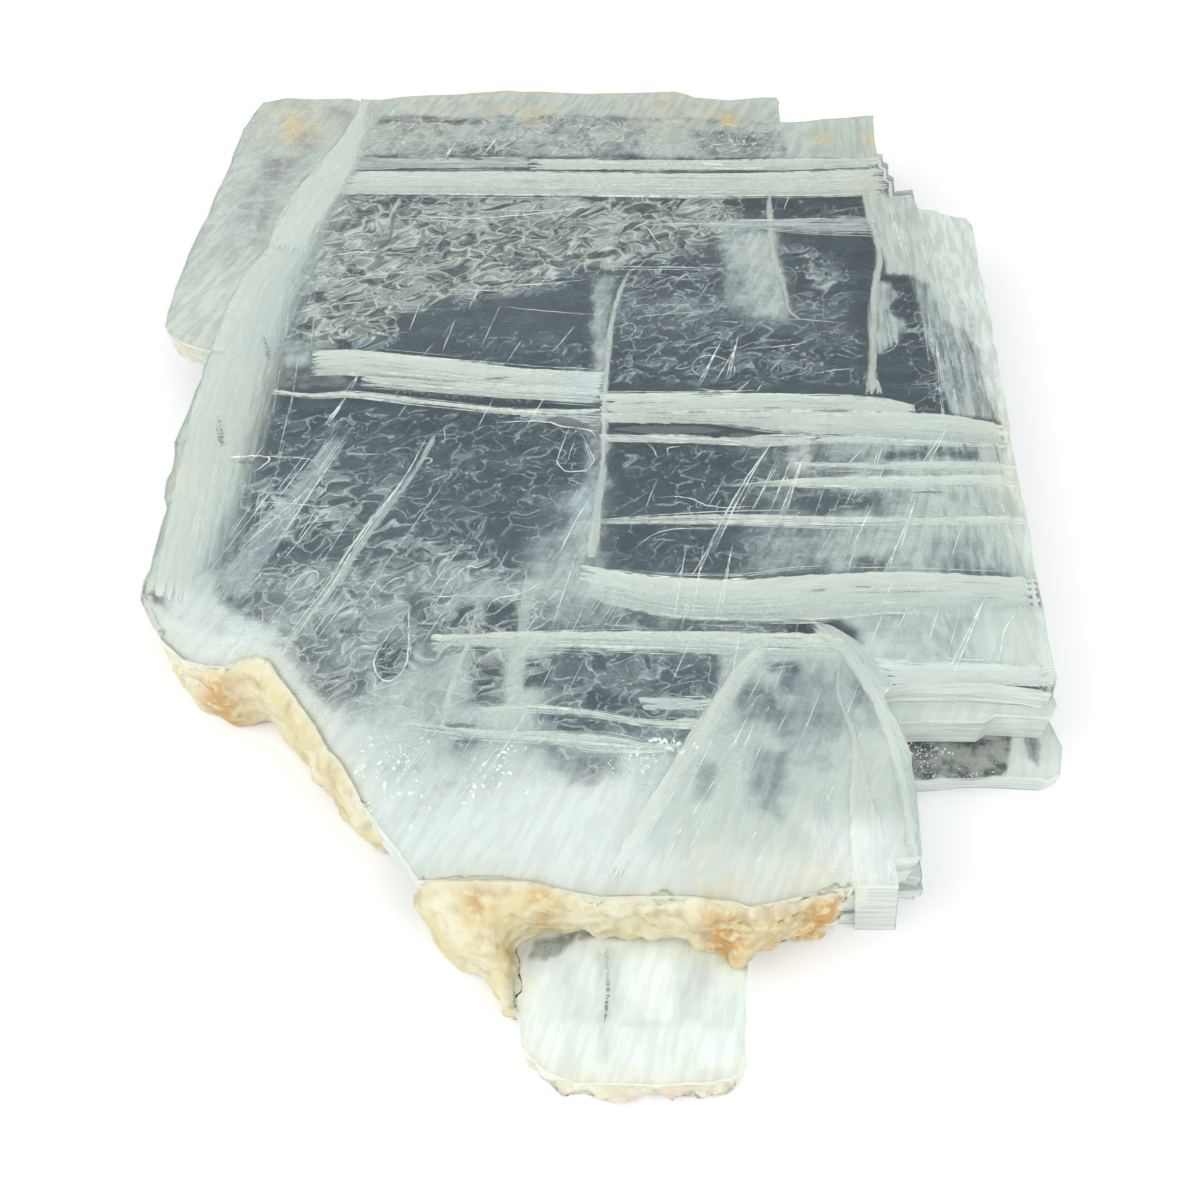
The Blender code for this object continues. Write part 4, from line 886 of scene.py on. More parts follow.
def threshold_alpha(tree, density, grain, contrast=2.4):
    """Opacity from a smooth density and a noise: soft haze mixed with threads that the noise cuts out of it."""
    lifted = maths(tree, "MULTIPLY_ADD", maths(tree, "SUBTRACT", density, 0.5), 2.0, 0.5)
    cut = maths(tree, "ADD", lifted, maths(tree, "MULTIPLY", maths(tree, "SUBTRACT", grain, 0.5), contrast),
                clamp=True)
    return mix_value(tree, 0.55, density, cut)


def haze_material():
    """The haze on level cleavages: streaks and a mottle that tear it open where its veil is thin."""
    material, tree, shader = new_material("pale_haze", 0.55)
    place = object_place(tree)
    level = streaks(tree, place, (50.0, 330.0, 45.0))
    turn = maths(tree, "MULTIPLY_ADD", point_value(tree, "upright"), -0.36, -1.15)
    slant = streaks(tree, place, (60.0, 360.0, 60.0), turn)
    mottle = flat_noise(tree, place, 120.0, 4.0, 0.7)
    crossed = mix_value(tree, 0.55, level, slant)
    grain = mix_value(tree, 0.6, crossed, mottle)
    lines = mix_value(tree, 0.35, slant, mottle)
    grain = mix_value(tree, point_value(tree, "upright"), grain, lines)
    calm = point_value(tree, "calm")
    contrast = ramp(tree, calm, 0.0, 1.0, 3.0, 2.1)
    tree.links.new(threshold_alpha(tree, point_value(tree, "veil"), grain, contrast), shader.inputs["Alpha"])
    folds = mix_value(tree, 0.5, slant, grain)
    lowest = ramp(tree, calm, 0.0, 1.0, 0.84, 0.95)
    shade = ramp(tree, folds, 0.4, 0.6, lowest, 1.05)
    # Painted shade and darker places, from the point value that the sheet keeps for them, broken up by the mottle
    dim = maths(tree, "MULTIPLY", point_value(tree, "dim"), ramp(tree, mottle, 0.35, 0.62, 1.0, 0.55))
    give_tint(tree, shader, mottle, maths(tree, "MULTIPLY", shade, maths(tree, "SUBTRACT", 1.0, dim)))
    return material


def band_material():
    """Bands and upright veils: faint streaks along their length, and edges that fray along the same streaks."""
    material, tree, shader = new_material("pale_band", 0.5)
    own = add_node(tree, "ShaderNodeUVMap", uv_map="along").outputs["UV"]
    wide, fine = streaks(tree, own, (0.05, 0.6, 1.0)), streaks(tree, own, (0.16, 2.4, 1.0))
    grain = mix_value(tree, 0.5, wide, fine)
    fray = maths(tree, "SUBTRACT", mix_value(tree, 0.35, wide, fine), 0.5)
    edges = []
    for side in ("far", "near"):
        soft = point_value(tree, "soft_" + side)
        reach = maths(tree, "ADD", maths(tree, "MULTIPLY", soft, 0.6), 2.6)
        moved = maths(tree, "ADD", point_value(tree, side), maths(tree, "MULTIPLY", fray, reach))
        edges.append(ramp(tree, moved, -0.1, maths(tree, "ADD", soft, 0.25)))
    fade = maths(tree, "MULTIPLY", edges[0], edges[1])
    torn = maths(tree, "ADD", point_value(tree, "end"), maths(tree, "MULTIPLY", fray, 30.0))
    fade = maths(tree, "MULTIPLY", fade, ramp(tree, torn, -0.5, 3.0))
    alpha = threshold_alpha(tree, point_value(tree, "veil"), grain, 1.7)
    tree.links.new(maths(tree, "MULTIPLY", alpha, fade), shader.inputs["Alpha"])
    give_tint(tree, shader, grain, maths(tree, "MULTIPLY_ADD", ramp(tree, grain, 0.38, 0.62), 0.13, 0.92))
    return material


def gap_material(settings):
    """Dark gaps in the bands: solid in the middle, broken into short strokes where they comb out."""
    material, tree, shader = new_material("dark_gap", 0.6, settings.gap)
    own = add_node(tree, "ShaderNodeUVMap", uv_map="along").outputs["UV"]
    comb = flat_noise(tree, vector_maths(tree, "MULTIPLY", own, (1.3, 0.35, 1.0)), 1.0, 2.0)
    patch = flat_noise(tree, vector_maths(tree, "MULTIPLY", own, (0.12, 0.9, 1.0)), 1.0, 3.0)
    cut = maths(tree, "MULTIPLY", ramp(tree, comb, 0.46, 0.56), ramp(tree, patch, 0.4, 0.55))
    solid = mix_value(tree, point_value(tree, "veil"), 1.0, cut)
    far, near = point_value(tree, "far"), point_value(tree, "near")
    rag = maths(tree, "MULTIPLY", maths(tree, "SUBTRACT", mix_value(tree, 0.4, comb, patch), 0.5),
                maths(tree, "MULTIPLY", maths(tree, "ADD", far, near), 1.1))
    edge = maths(tree, "ADD", maths(tree, "MINIMUM", far, near), rag)
    solid = maths(tree, "MULTIPLY", solid, ramp(tree, edge, -0.05, 0.4))
    tree.links.new(maths(tree, "MULTIPLY", solid, 0.85), shader.inputs["Alpha"])
    return material


def net_material():
    """The net: where it is faint, only the brightest lines of the foil are left."""
    material, tree, shader = new_material("healed_cracks", 0.5)
    place = object_place(tree)
    foil = add_node(tree, "ShaderNodeGroup", {"Vector": place, "Milk": 0.62}, node_tree=foil_group())
    patch = flat_noise(tree, place, 60.0, 3.0)
    there = maths(tree, "MULTIPLY", point_value(tree, "veil"), ramp(tree, patch, 0.3, 0.7, 0.75, 1.2))
    lost = maths(tree, "MULTIPLY", maths(tree, "SUBTRACT", 1.0, there, clamp=True), 0.78)
    shown = maths(tree, "SUBTRACT", foil.outputs["Foil"], lost, clamp=True)
    tree.links.new(maths(tree, "MULTIPLY", shown, ramp(tree, there, 0.02, 0.2)), shader.inputs["Alpha"])
    give_tint(tree, shader, patch)
    return material


def cloud_material():
    """Faint clouds deep in the windows."""
    material, tree, shader = new_material("deep_cloud", 0.6, (0.42, 0.53, 0.55))
    wide = vector_maths(tree, "MULTIPLY", object_place(tree), (0.7, 1.3, 1.0))
    cloud = flat_noise(tree, wide, 70.0, 3.0, 0.74)
    tree.links.new(ramp(tree, cloud, 0.42, 0.62, 0.0, 0.62), shader.inputs["Alpha"])
    return material


def frost_material():
    """Frost inside the walls: thin level laminae, with stain along the back and solid beside the crusts."""
    material, tree, shader = new_material("wall_frost", 0.6)
    place = object_place(tree)
    leaf = solid_noise(tree, vector_maths(tree, "MULTIPLY", place, (60.0, 60.0, 700.0)), 1.0, 1.0)
    alpha = maths(tree, "MULTIPLY_ADD", leaf, 0.7, 0.56)
    alpha = maths(tree, "ADD", alpha, point_value(tree, "solid"), clamp=True)
    give_tint(tree, shader, solid_noise(tree, place, 28.0, 1.0))
    tree.links.new(alpha, shader.inputs["Alpha"])
    return material


def thread_material(name, colour):
    """A thread or a flake: one colour, broken into brighter and fainter stretches."""
    material, tree, shader = new_material(name, 0.4, colour)
    beads = solid_noise(tree, object_place(tree), 260.0, 0.0)
    tree.links.new(ramp(tree, beads, 0.36, 0.6, 0.3, 0.95), shader.inputs["Alpha"])
    return material


def crust_material(settings, name, tint):
    """Earthy crust: cream with chalky and rusty patches, painted shade darkening its pits, with a fine grain."""
    material, tree, shader = new_material(name, 0.85)
    place = object_place(tree)
    blotch, small = solid_noise(tree, place, 90.0, 5.0, 0.6), solid_noise(tree, place, 300.0, 4.0, 0.6)
    cream = mix_colour(tree, ramp(tree, blotch, 0.4, 0.62), (*tint, 1.0), (*settings.white, 1.0))
    rusty = ramp(tree, mix_value(tree, 0.5, blotch, small), 0.4, 0.54)
    rust = maths(tree, "MULTIPLY", point_value(tree, "stain"), rusty, clamp=True)
    stained = mix_colour(tree, rust, cream, (*settings.ochre, 1.0))
    chalk = maths(tree, "MULTIPLY", point_value(tree, "seam"), ramp(tree, small, 0.3, 0.5, 0.5, 1.0))
    stained = mix_colour(tree, chalk, stained, (0.62, 0.635, 0.52, 1.0))
    # Painted shade: the dents of the skin are darkened towards a dark brown
    pits = maths(tree, "MULTIPLY", point_value(tree, "pit"), 0.6, clamp=True)
    tree.links.new(mix_colour(tree, pits, stained, (0.30, 0.24, 0.14, 1.0)), shader.inputs["Base Color"])
    bumps = solid_noise(tree, place, 0.5 / settings.grain, 6.0, 0.7)
    relief = add_node(tree, "ShaderNodeBump", {"Height": bumps, "Strength": 0.7, "Distance": 0.0008})
    tree.links.new(relief.outputs[0], shader.inputs["Normal"])
    return material


def level_sheet(name, height, step, inside, cover=None):
    """A level sheet that fills the crystal's section at this height, mm. With cover, only the parts stay that have
    less than that much crystal above them."""
    shape = bmesh.new()
    shape.from_mesh(merged_copy("selenite_slab", name + "_outline"))
    everything = shape.verts[:] + shape.edges[:] + shape.faces[:]
    cut = bmesh.ops.bisect_plane(shape, geom=everything, dist=1e-7, plane_co=(0, 0, height * MM),
                                 plane_no=(0, 0, 1))["geom_cut"]
    rim = [edge for edge in cut if isinstance(edge, bmesh.types.BMEdge)]
    corners = [corner for corner in cut if isinstance(corner, bmesh.types.BMVert)]
    order = {corner: k for k, corner in enumerate(corners)}
    points = [Vector((corner.co.x, corner.co.y)) for corner in corners]
    edges = [(order[edge.verts[0]], order[edge.verts[1]]) for edge in rim]
    shape.free()
    xs, ys = [p.x for p in points], [p.y for p in points]
    columns = np.arange(min(xs), max(xs), step)
    rows = np.arange(min(ys), max(ys), step)
    points += [Vector((x + (step / 2 if k % 2 else 0), y)) for k, y in enumerate(rows) for x in columns]
    verts, _, faces, *_ = delaunay_2d_cdt(points, edges, [], 1, 1e-6)
    spots = [Vector((v.x, v.y, height * MM)) for v in verts]
    if cover:
        up = Vector((0, 0, 1))
        shallow = [(inside.tree.ray_cast(spot, up)[3] or 1.0) < cover * MM for spot in spots]
        faces = [face for face in faces if any(shallow[k] for k in face)]
    used = sorted({k for face in faces for k in face})
    place = {k: m for m, k in enumerate(used)}
    mesh = bpy.data.meshes.new(name)
    mesh.from_pydata([spots[k] for k in used], [], [[place[k] for k in face] for face in faces])
    return mesh


def thin_out(mesh, wanted):
    """Keeps the faces of a sheet that have a wanted corner."""
    shape = bmesh.new()
    shape.from_mesh(mesh)
    bare = [face for face in shape.faces if not any(wanted[corner.index] for corner in face.verts)]
    bmesh.ops.delete(shape, geom=bare, context="FACES")
    shape.to_mesh(mesh)
    shape.free()


def ragged(point, amount):
    """A plan point moved a little, the same way each time."""
    spot = Vector((point[0] / 2.6, point[1] / 2.6, 0.0))
    return (point[0] + amount * noise.fractal(spot, 1.0, 2.0, 3),
            point[1] + amount * noise.fractal(spot + Vector((9.0, 0.0, 5.0)), 1.0, 2.0, 3))


def add_strip(store, first, second, opacity, depths, softness=(0, 0), across=4, step=1.2, rough=0.5, top=TOP):
    """A ruled strip between two plan lines. It keeps its own map, mm along and mm across, and how it fades."""
    longest = max(resampled(first, 2)[1], resampled(second, 2)[1])
    count = max(5, int(longest / step))
    one, length = resampled(rounded(first, 1), count)
    two, _ = resampled(rounded(second, 1), count)
    base = len(store["points"])
    for k in range(count):
        start, stop = ragged(one[k, :2], rough), ragged(two[k, :2], rough)
        width = math.dist(start, stop)
        end = min(k, count - 1 - k) * length / (count - 1)
        for m in range(across + 1):
            t = m / across
            x, y = (a * (1 - t) + b * t for a, b in zip(start, stop))
            store["points"].append(seen_at(x, y, depths[0] + (depths[1] - depths[0]) * t, top))
            store["plan"].append((x, y))
            store["uv"].append((length * k / (count - 1) + base * 0.37, width * t))
            for label, value in (("far", width * t), ("near", width * (1 - t)), ("soft_far", softness[0]),
                                 ("soft_near", softness[1]), ("end", end), ("veil", opacity)):
                store[label].append(value)
    for k in range(count - 1):
        for m in range(across):
            corner = base + k * (across + 1) + m
            store["faces"].append((corner, corner + 1, corner + across + 2, corner + across + 1))


def add_ribbon(store, line, opacity, depths, softness=(0, 0), lens=False, top=TOP):
    """A strip along a middle line whose points carry their half width. A lens thins towards both ends."""
    middle = resampled(rounded(line), 24)[0] if lens else rounded(line)
    turn = np.gradient(middle[:, :2], axis=0)
    side = np.stack([turn[:, 1], -turn[:, 0]], 1) / np.hypot(turn[:, 0], turn[:, 1])[:, None]
    half = middle[:, 2]
    if lens:
        half = half * np.clip(np.sin(np.pi * np.linspace(0, 1, len(middle))), 0.02, 1) ** 0.5
    left = middle[:, :2] + side * half[:, None]
    right = middle[:, :2] - side * half[:, None]
    add_strip(store, left, right, opacity, depths, softness, 4 if lens else 6, 0.8 if lens else 1.2, 0.3, top)


def strip_mesh(name, store, inside):
    """The strips in a store as one mesh, without the faces that would leave the crystal."""
    kept = [inside.kept(point) for point in store["points"]]
    faces = [face for face in store["faces"] if all(kept[k] for k in face)]
    mesh = bpy.data.meshes.new(name)
    mesh.from_pydata([place or point for place, point in zip(kept, store["points"])], [], faces)
    layer = mesh.uv_layers.new(name="along")
    for loop in mesh.loops:
        layer.data[loop.index].uv = store["uv"][loop.vertex_index]
    add_point_values(mesh, **{label: store[label] for label in STRIP_VALUES})
    add_tints(mesh, np.array(store["plan"]))
    loose = bmesh.new()
    loose.from_mesh(mesh)
    bmesh.ops.delete(loose, geom=[v for v in loose.verts if not v.link_faces], context="VERTS")
    loose.to_mesh(mesh)
    loose.free()
    return mesh


STRIP_VALUES = ("veil", "far", "near", "soft_far", "soft_near", "end")


def new_store():
    return {label: [] for label in ("points", "plan", "faces", "uv", *STRIP_VALUES)}


def thread_tree():
    """Geometry nodes: each line of the mesh becomes a thread that thins towards its ends."""
    name = "tapered_threads"
    if name in bpy.data.node_groups:
        return bpy.data.node_groups[name]
    tree = bpy.data.node_groups.new(name, "GeometryNodeTree")
    for label, kind, default in (("Geometry", "NodeSocketGeometry", None), ("Thickness", "NodeSocketFloat", 1.0),
                                 ("Points", "NodeSocketInt", 6), ("Material", "NodeSocketMaterial", None)):
        socket = tree.interface.new_socket(name=label, in_out="INPUT", socket_type=kind)
        if default is not None:
            socket.default_value = default
    tree.interface.new_socket(name="Geometry", in_out="OUTPUT", socket_type="NodeSocketGeometry")
    start, end = tree.nodes.new("NodeGroupInput"), tree.nodes.new("NodeGroupOutput")
    lines = add_node(tree, "GeometryNodeMeshToCurve", {"Mesh": start.outputs["Geometry"]})
    even = add_node(tree, "GeometryNodeResampleCurve", {"Curve": lines.outputs[0],
                                                        "Count": start.outputs["Points"]})
    part = add_node(tree, "GeometryNodeSplineParameter").outputs["Factor"]
    centred = maths(tree, "ABSOLUTE", maths(tree, "MULTIPLY_ADD", part, 2.0, -1.0))
    taper = maths(tree, "SUBTRACT", 1.0, maths(tree, "POWER", centred, 2.4), clamp=True)
    girth = add_node(tree, "GeometryNodeInputNamedAttribute", {"Name": "girth"}, data_type="FLOAT")
    radius = maths(tree, "MULTIPLY", maths(tree, "MULTIPLY", girth.outputs[0], taper),
                   start.outputs["Thickness"])
    radius = maths(tree, "MAXIMUM", radius, 0.00003)
    profile = add_node(tree, "GeometryNodeCurvePrimitiveCircle", {"Resolution": 4, "Radius": 1.0})
    tube = add_node(tree, "GeometryNodeCurveToMesh", {"Curve": even.outputs[0], "Scale": radius,
                                                      "Profile Curve": profile.outputs[0], "Fill Caps": True})
    real = add_node(tree, "GeometryNodeRealizeInstances", {"Geometry": tube.outputs[0]})
    done = add_node(tree, "GeometryNodeSetMaterial", {"Geometry": real.outputs[0],
                                                      "Material": start.outputs["Material"]})
    tree.links.new(done.outputs[0], end.inputs[0])
    return tree


def flake_tree():
    """Geometry nodes: a small flat flake at each point, as large as the point says, turned at random."""
    name = "scattered_flakes"
    if name in bpy.data.node_groups:
        return bpy.data.node_groups[name]
    tree = bpy.data.node_groups.new(name, "GeometryNodeTree")
    for label, kind in (("Geometry", "NodeSocketGeometry"), ("Material", "NodeSocketMaterial")):
        tree.interface.new_socket(name=label, in_out="INPUT", socket_type=kind)
    tree.interface.new_socket(name="Geometry", in_out="OUTPUT", socket_type="NodeSocketGeometry")
    start, end = tree.nodes.new("NodeGroupInput"), tree.nodes.new("NodeGroupOutput")
    points = add_node(tree, "GeometryNodeMeshToPoints", {"Mesh": start.outputs["Geometry"]})
    flake = add_node(tree, "GeometryNodeMeshIcoSphere", {"Radius": 1.0, "Subdivisions": 1})
    flat = add_node(tree, "GeometryNodeTransform", {"Geometry": flake.outputs[0], "Scale": (1.0, 0.6, 0.25)})
    girth = add_node(tree, "GeometryNodeInputNamedAttribute", {"Name": "girth"}, data_type="FLOAT")
    turn = add_node(tree, "FunctionNodeRandomValue", {"Seed": 4}, data_type="FLOAT_VECTOR")
    turn.inputs[0].default_value = (-0.5, -0.5, 0.0)
    turn.inputs[1].default_value = (0.5, 0.5, 6.28)
    placed = add_node(tree, "GeometryNodeInstanceOnPoints", {"Points": points.outputs[0], "Instance": flat.outputs[0],
                                                             "Rotation": turn.outputs[0], "Scale": girth.outputs[0]})
    real = add_node(tree, "GeometryNodeRealizeInstances", {"Geometry": placed.outputs[0]})
    done = add_node(tree, "GeometryNodeSetMaterial", {"Geometry": real.outputs[0],
                                                      "Material": start.outputs["Material"]})
    tree.links.new(done.outputs[0], end.inputs[0])
    return tree


def grown_mesh(name, mesh, tree, values):
    """Runs a geometry node tree on a mesh and returns the result as a plain mesh."""
    work = bpy.data.objects.new(name + "_seed", mesh)
    bpy.context.scene.collection.objects.link(work)
    modifier = work.modifiers.new(name, "NODES")
    modifier.node_group = tree
    sockets = {item.name: item.identifier for item in tree.interface.items_tree if item.in_out == "INPUT"}
    for label, value in values.items():
        modifier[sockets[label]] = value
    bpy.context.view_layer.update()
    evaluated = work.evaluated_get(bpy.context.evaluated_depsgraph_get())
    result = bpy.data.meshes.new_from_object(evaluated)
    bpy.data.objects.remove(work)
    result.name = name
    for vertex in result.vertices:
        vertex.co.z = min(vertex.co.z, (TOP - 0.05) * MM)
    return result


def line_mesh(name, lines):
    """lines: (list of row-frame points, thickness in mm) as chains of edges that carry their thickness."""
    points, edges, girth = [], [], []
    for line, thickness in lines:
        base = len(points)
        points += line
        edges += [(base + k, base + k + 1) for k in range(len(line) - 1)]
        girth += [thickness * MM / 2] * len(line)
    mesh = bpy.data.meshes.new(name)
    mesh.from_pydata(points, edges, [])
    add_point_values(mesh, girth=girth)
    return mesh


def add_threads(name, lines, points, material):
    """Links a piece with a thread along each of the lines."""
    mesh = grown_mesh(name, line_mesh(name, lines), thread_tree(),
                      {"Thickness": 1.0, "Points": points, "Material": material})
    new_piece(name, mesh, material, sheer=True)


class SELENITE_OT_crystal(bpy.types.Operator):
    """Build the clear crystal with the frost inside its walls"""

    bl_idname = "selenite.crystal"
    bl_label = "Crystal"

    def execute(self, context):
        stone = context.scene.selenite_stone
        body = merged_copy("selenite_slab", "crystal_body")
        new_piece("crystal_body", body, clear_material(stone), ["selenite_slab"])
        shape = bmesh.new()
        shape.from_mesh(body)
        walls = [f for f in shape.faces if abs(f.normal.z) < WALL_SLOPE or self.is_ledge(f)]
        pushes = {}
        for face in walls:
            for corner in face.verts:
                pushes.setdefault(corner, Vector())
                pushes[corner] += face.normal * face.calc_area()
        for corner, push in pushes.items():
            if push.length > 0:
                corner.co -= push.normalized() * stone.frost_inset
        kept = set(walls)
        bmesh.ops.delete(shape, geom=[f for f in shape.faces if f not in kept], context="FACES")
        bmesh.ops.subdivide_edges(shape, edges=[e for e in shape.edges if e.calc_length() > 0.004], cuts=2,
                                  use_grid_fill=True)
        frost = bpy.data.meshes.new("wall_frost")
        shape.to_mesh(frost)
        shape.free()
        spots = plan_of([v.co for v in frost.vertices], 0)
        back = np.clip((spots[:, 1] - STAINED_FROM) / 20, 0, 1)
        near_crust = crust_share([v.co for v in frost.vertices], 4.0)
        for vertex in frost.vertices:
            vertex.co.z = min(max(vertex.co.z, 0.1 * MM), (TOP - 0.1) * MM)
        add_tint(frost, np.full(len(spots), 0.35), np.zeros(len(spots)), near_crust)
        add_point_values(frost, solid=near_crust,
                         stain=np.clip(0.3 * back + soft_spots(spots, STAINS), 0, 1))
        new_piece("wall_frost", frost, frost_material(), sheer=True)
        return {"FINISHED"}

    def is_ledge(self, face):
        """Whether a face is one of the narrow steps in the walls, and not a top face that has a haze of its own."""
        height = face.calc_center_median().z / MM
        level_top = min(abs(height - top) for top in (LOW_TOP, TERRACE_TOP)) <= 0.2
        return face.normal.z > WALL_SLOPE and height < 30 and not level_top


class SELENITE_OT_haze(bpy.types.Operator):
    """Build the haze, the net of healed cracks and the deep clouds"""

    bl_idname = "selenite.haze"
    bl_label = "Haze, net and clouds"

    def execute(self, context):
        veils = context.scene.selenite_veils
        inside = CrystalInside()
        pale = haze_material()
        depth = veils.haze_depth / MM
        haze = level_sheet("inner_haze", TOP - depth, veils.grid, inside)
        plan = plan_of([v.co for v in haze.vertices], depth)
        upright = np.clip((plan[:, 0] - UPRIGHT_FROM) / 14, 0, 1)
        calm = np.clip((CALM_BEFORE - plan[:, 1]) / 30, 0, 1)
        plan = wavy(plan)
        rim = np.clip(1.6 * crust_share([v.co for v in haze.vertices], 6.0), 0, 1)
        # The last value is the darker places in the haze, partly painted shade
        self.finish(haze, plan, pale, 1 - (1 - haze_at(plan)) * (1 - rim), upright, calm, soft_patches(plan, DIM_AND_SHADE))
        low = level_sheet("low_haze", LOW_TOP - LOW_DEPTH, veils.grid / 2, inside, LOW_COVER)
        plan = wavy(plan_of([v.co for v in low.vertices], LOW_DEPTH, LOW_TOP), 1.2, 1.0)
        veil = soft_patches(plan, LOW_HAZE) * (1 - soft_patches(plan, LOW_WINDOWS))
        self.finish(low, plan, pale, veil, 0.4, 1.0, soft_patches(plan, LOW_DIM_AND_SHADE), LOW_WHITE_AND_LIT_FACETS)
        terrace = level_sheet("terrace_haze", TERRACE_TOP - LOW_DEPTH, veils.grid, inside, LOW_COVER)
        plan = plan_of([v.co for v in terrace.vertices], LOW_DEPTH, TERRACE_TOP)
        self.finish(terrace, plan, pale, 0.97, 0.0, 1.0, 0.0)
        depth = veils.net_depth / MM
        net = level_sheet("healed_net", TOP - depth, veils.grid * 2, inside)
        plan = wavy(plan_of([v.co for v in net.vertices], depth), 4.0, 1.5)
        there = soft_patches(plan, NETS)
        add_point_values(net, veil=there)
        add_tints(net, plan)
        thin_out(net, there > 0.03)
        new_piece("healed_net", net, net_material(), sheer=True)
        depth = veils.cloud_depth / MM
        cloud = level_sheet("deep_cloud", TOP - depth, veils.grid * 4, inside, CLOUD_COVER)
        thin_out(cloud, haze_at(plan_of([v.co for v in cloud.vertices], depth)) < 0.8)
        new_piece("deep_cloud", cloud, cloud_material(), sheer=True)
        return {"FINISHED"}

    def finish(self, sheet, plan, material, veil, upright, calm, dim, whites=None):
        """Gives a sheet of haze its point values and tints, and links it."""
        columns = {"veil": veil, "upright": upright, "calm": calm, "dim": dim}
        add_point_values(sheet, **{label: np.broadcast_to(value, len(plan)) for label, value in columns.items()})
        add_tints(sheet, plan, whites)
        new_piece(sheet.name, sheet, material, sheer=True)


class SELENITE_OT_bands(bpy.types.Operator):
    """Build the cleavage bands, the upright veils and the dark gaps"""

    bl_idname = "selenite.bands"
    bl_label = "Bands and veils"

    def execute(self, context):
        inside = CrystalInside()
        pale = band_material()
        store = new_store()
        for first, second, opacity, low, high, soft_far, soft_near in BANDS:
            add_strip(store, first, second, opacity, (low, high), (soft_far, soft_near))
        new_piece("cleavage_bands", strip_mesh("cleavage_bands", store, inside), pale, sheer=True)
        store = new_store()
        add_strip(store, *LEFT_BAND, 0.95, (0.6, 3.0), (0.5, 15))
        add_strip(store, *LEFT_TOP, 0.85, (0.5, 0.9), (1, 5))
        for line, opacity, low, high, soft_left, soft_right in UPRIGHTS:
            add_ribbon(store, line, opacity, (low, high), (soft_left, soft_right))
        for line, gap, fill, _ in LAMELLAE:
            if gap:
                beside = [(x + gap * k / (len(line) - 1), y) for k, (x, y) in enumerate(line)]
                add_strip(store, line, beside, fill, (0.5, 1.2))
        new_piece("upright_veils", strip_mesh("upright_veils", store, inside), pale, sheer=True)
        draw = random.Random(context.scene.selenite_veils.seed + 1)
        fibres, streaks = [], []
        for first, second, *_ in BANDS:
            far, length = resampled(first, 40)
            near, _ = resampled(second, 40)
            for lines, count, spread in ((fibres, int(length / 3.0), 0.12), (streaks, int(length / 22.0), -0.1)):
                for _ in range(count):
                    t = draw.uniform(-spread, 1 + spread)
                    start, reach = draw.uniform(0, 34), draw.uniform(4, 22)
                    part = [(far[k] * (1 - t) + near[k] * t) for k in range(int(start), min(40, int(start + reach)))]
                    if len(part) > 3:
                        slope = draw.uniform(-0.02, 0.03)
                        lines.append([(x, y + slope * (x - part[0][0])) for x, y in part])
        threads = []
        for line in fibres:
            path = [seen_at(x, y, 0.5) for x, y in line]
            if all(inside.holds(point) for point in path):
                threads.append((path, draw.uniform(0.2, 0.55)))
        white = thread_material("pale_fibre", (0.66, 0.72, 0.66))
        add_threads("band_fibres", threads, 12, white)
        store = new_store()
        for line in streaks:
            ends = [(x, y, draw.uniform(0.15, 0.4)) for x, y in (line[0], line[len(line) // 2])]
            add_ribbon(store, ends, 0.4, (0.3, 0.35), lens=True)
        for top, gaps in ((TOP, GAPS), (LOW_TOP, LOW_GAPS)):
            for line, thickness, comb in gaps:
                add_ribbon(store, [(x, y, thickness / 2) for x, y in line], comb, (0.3, 0.35), lens=True, top=top)
        new_piece("dark_gaps", strip_mesh("dark_gaps", store, inside), gap_material(context.scene.selenite_veils),
                  sheer=True)
        return {"FINISHED"}


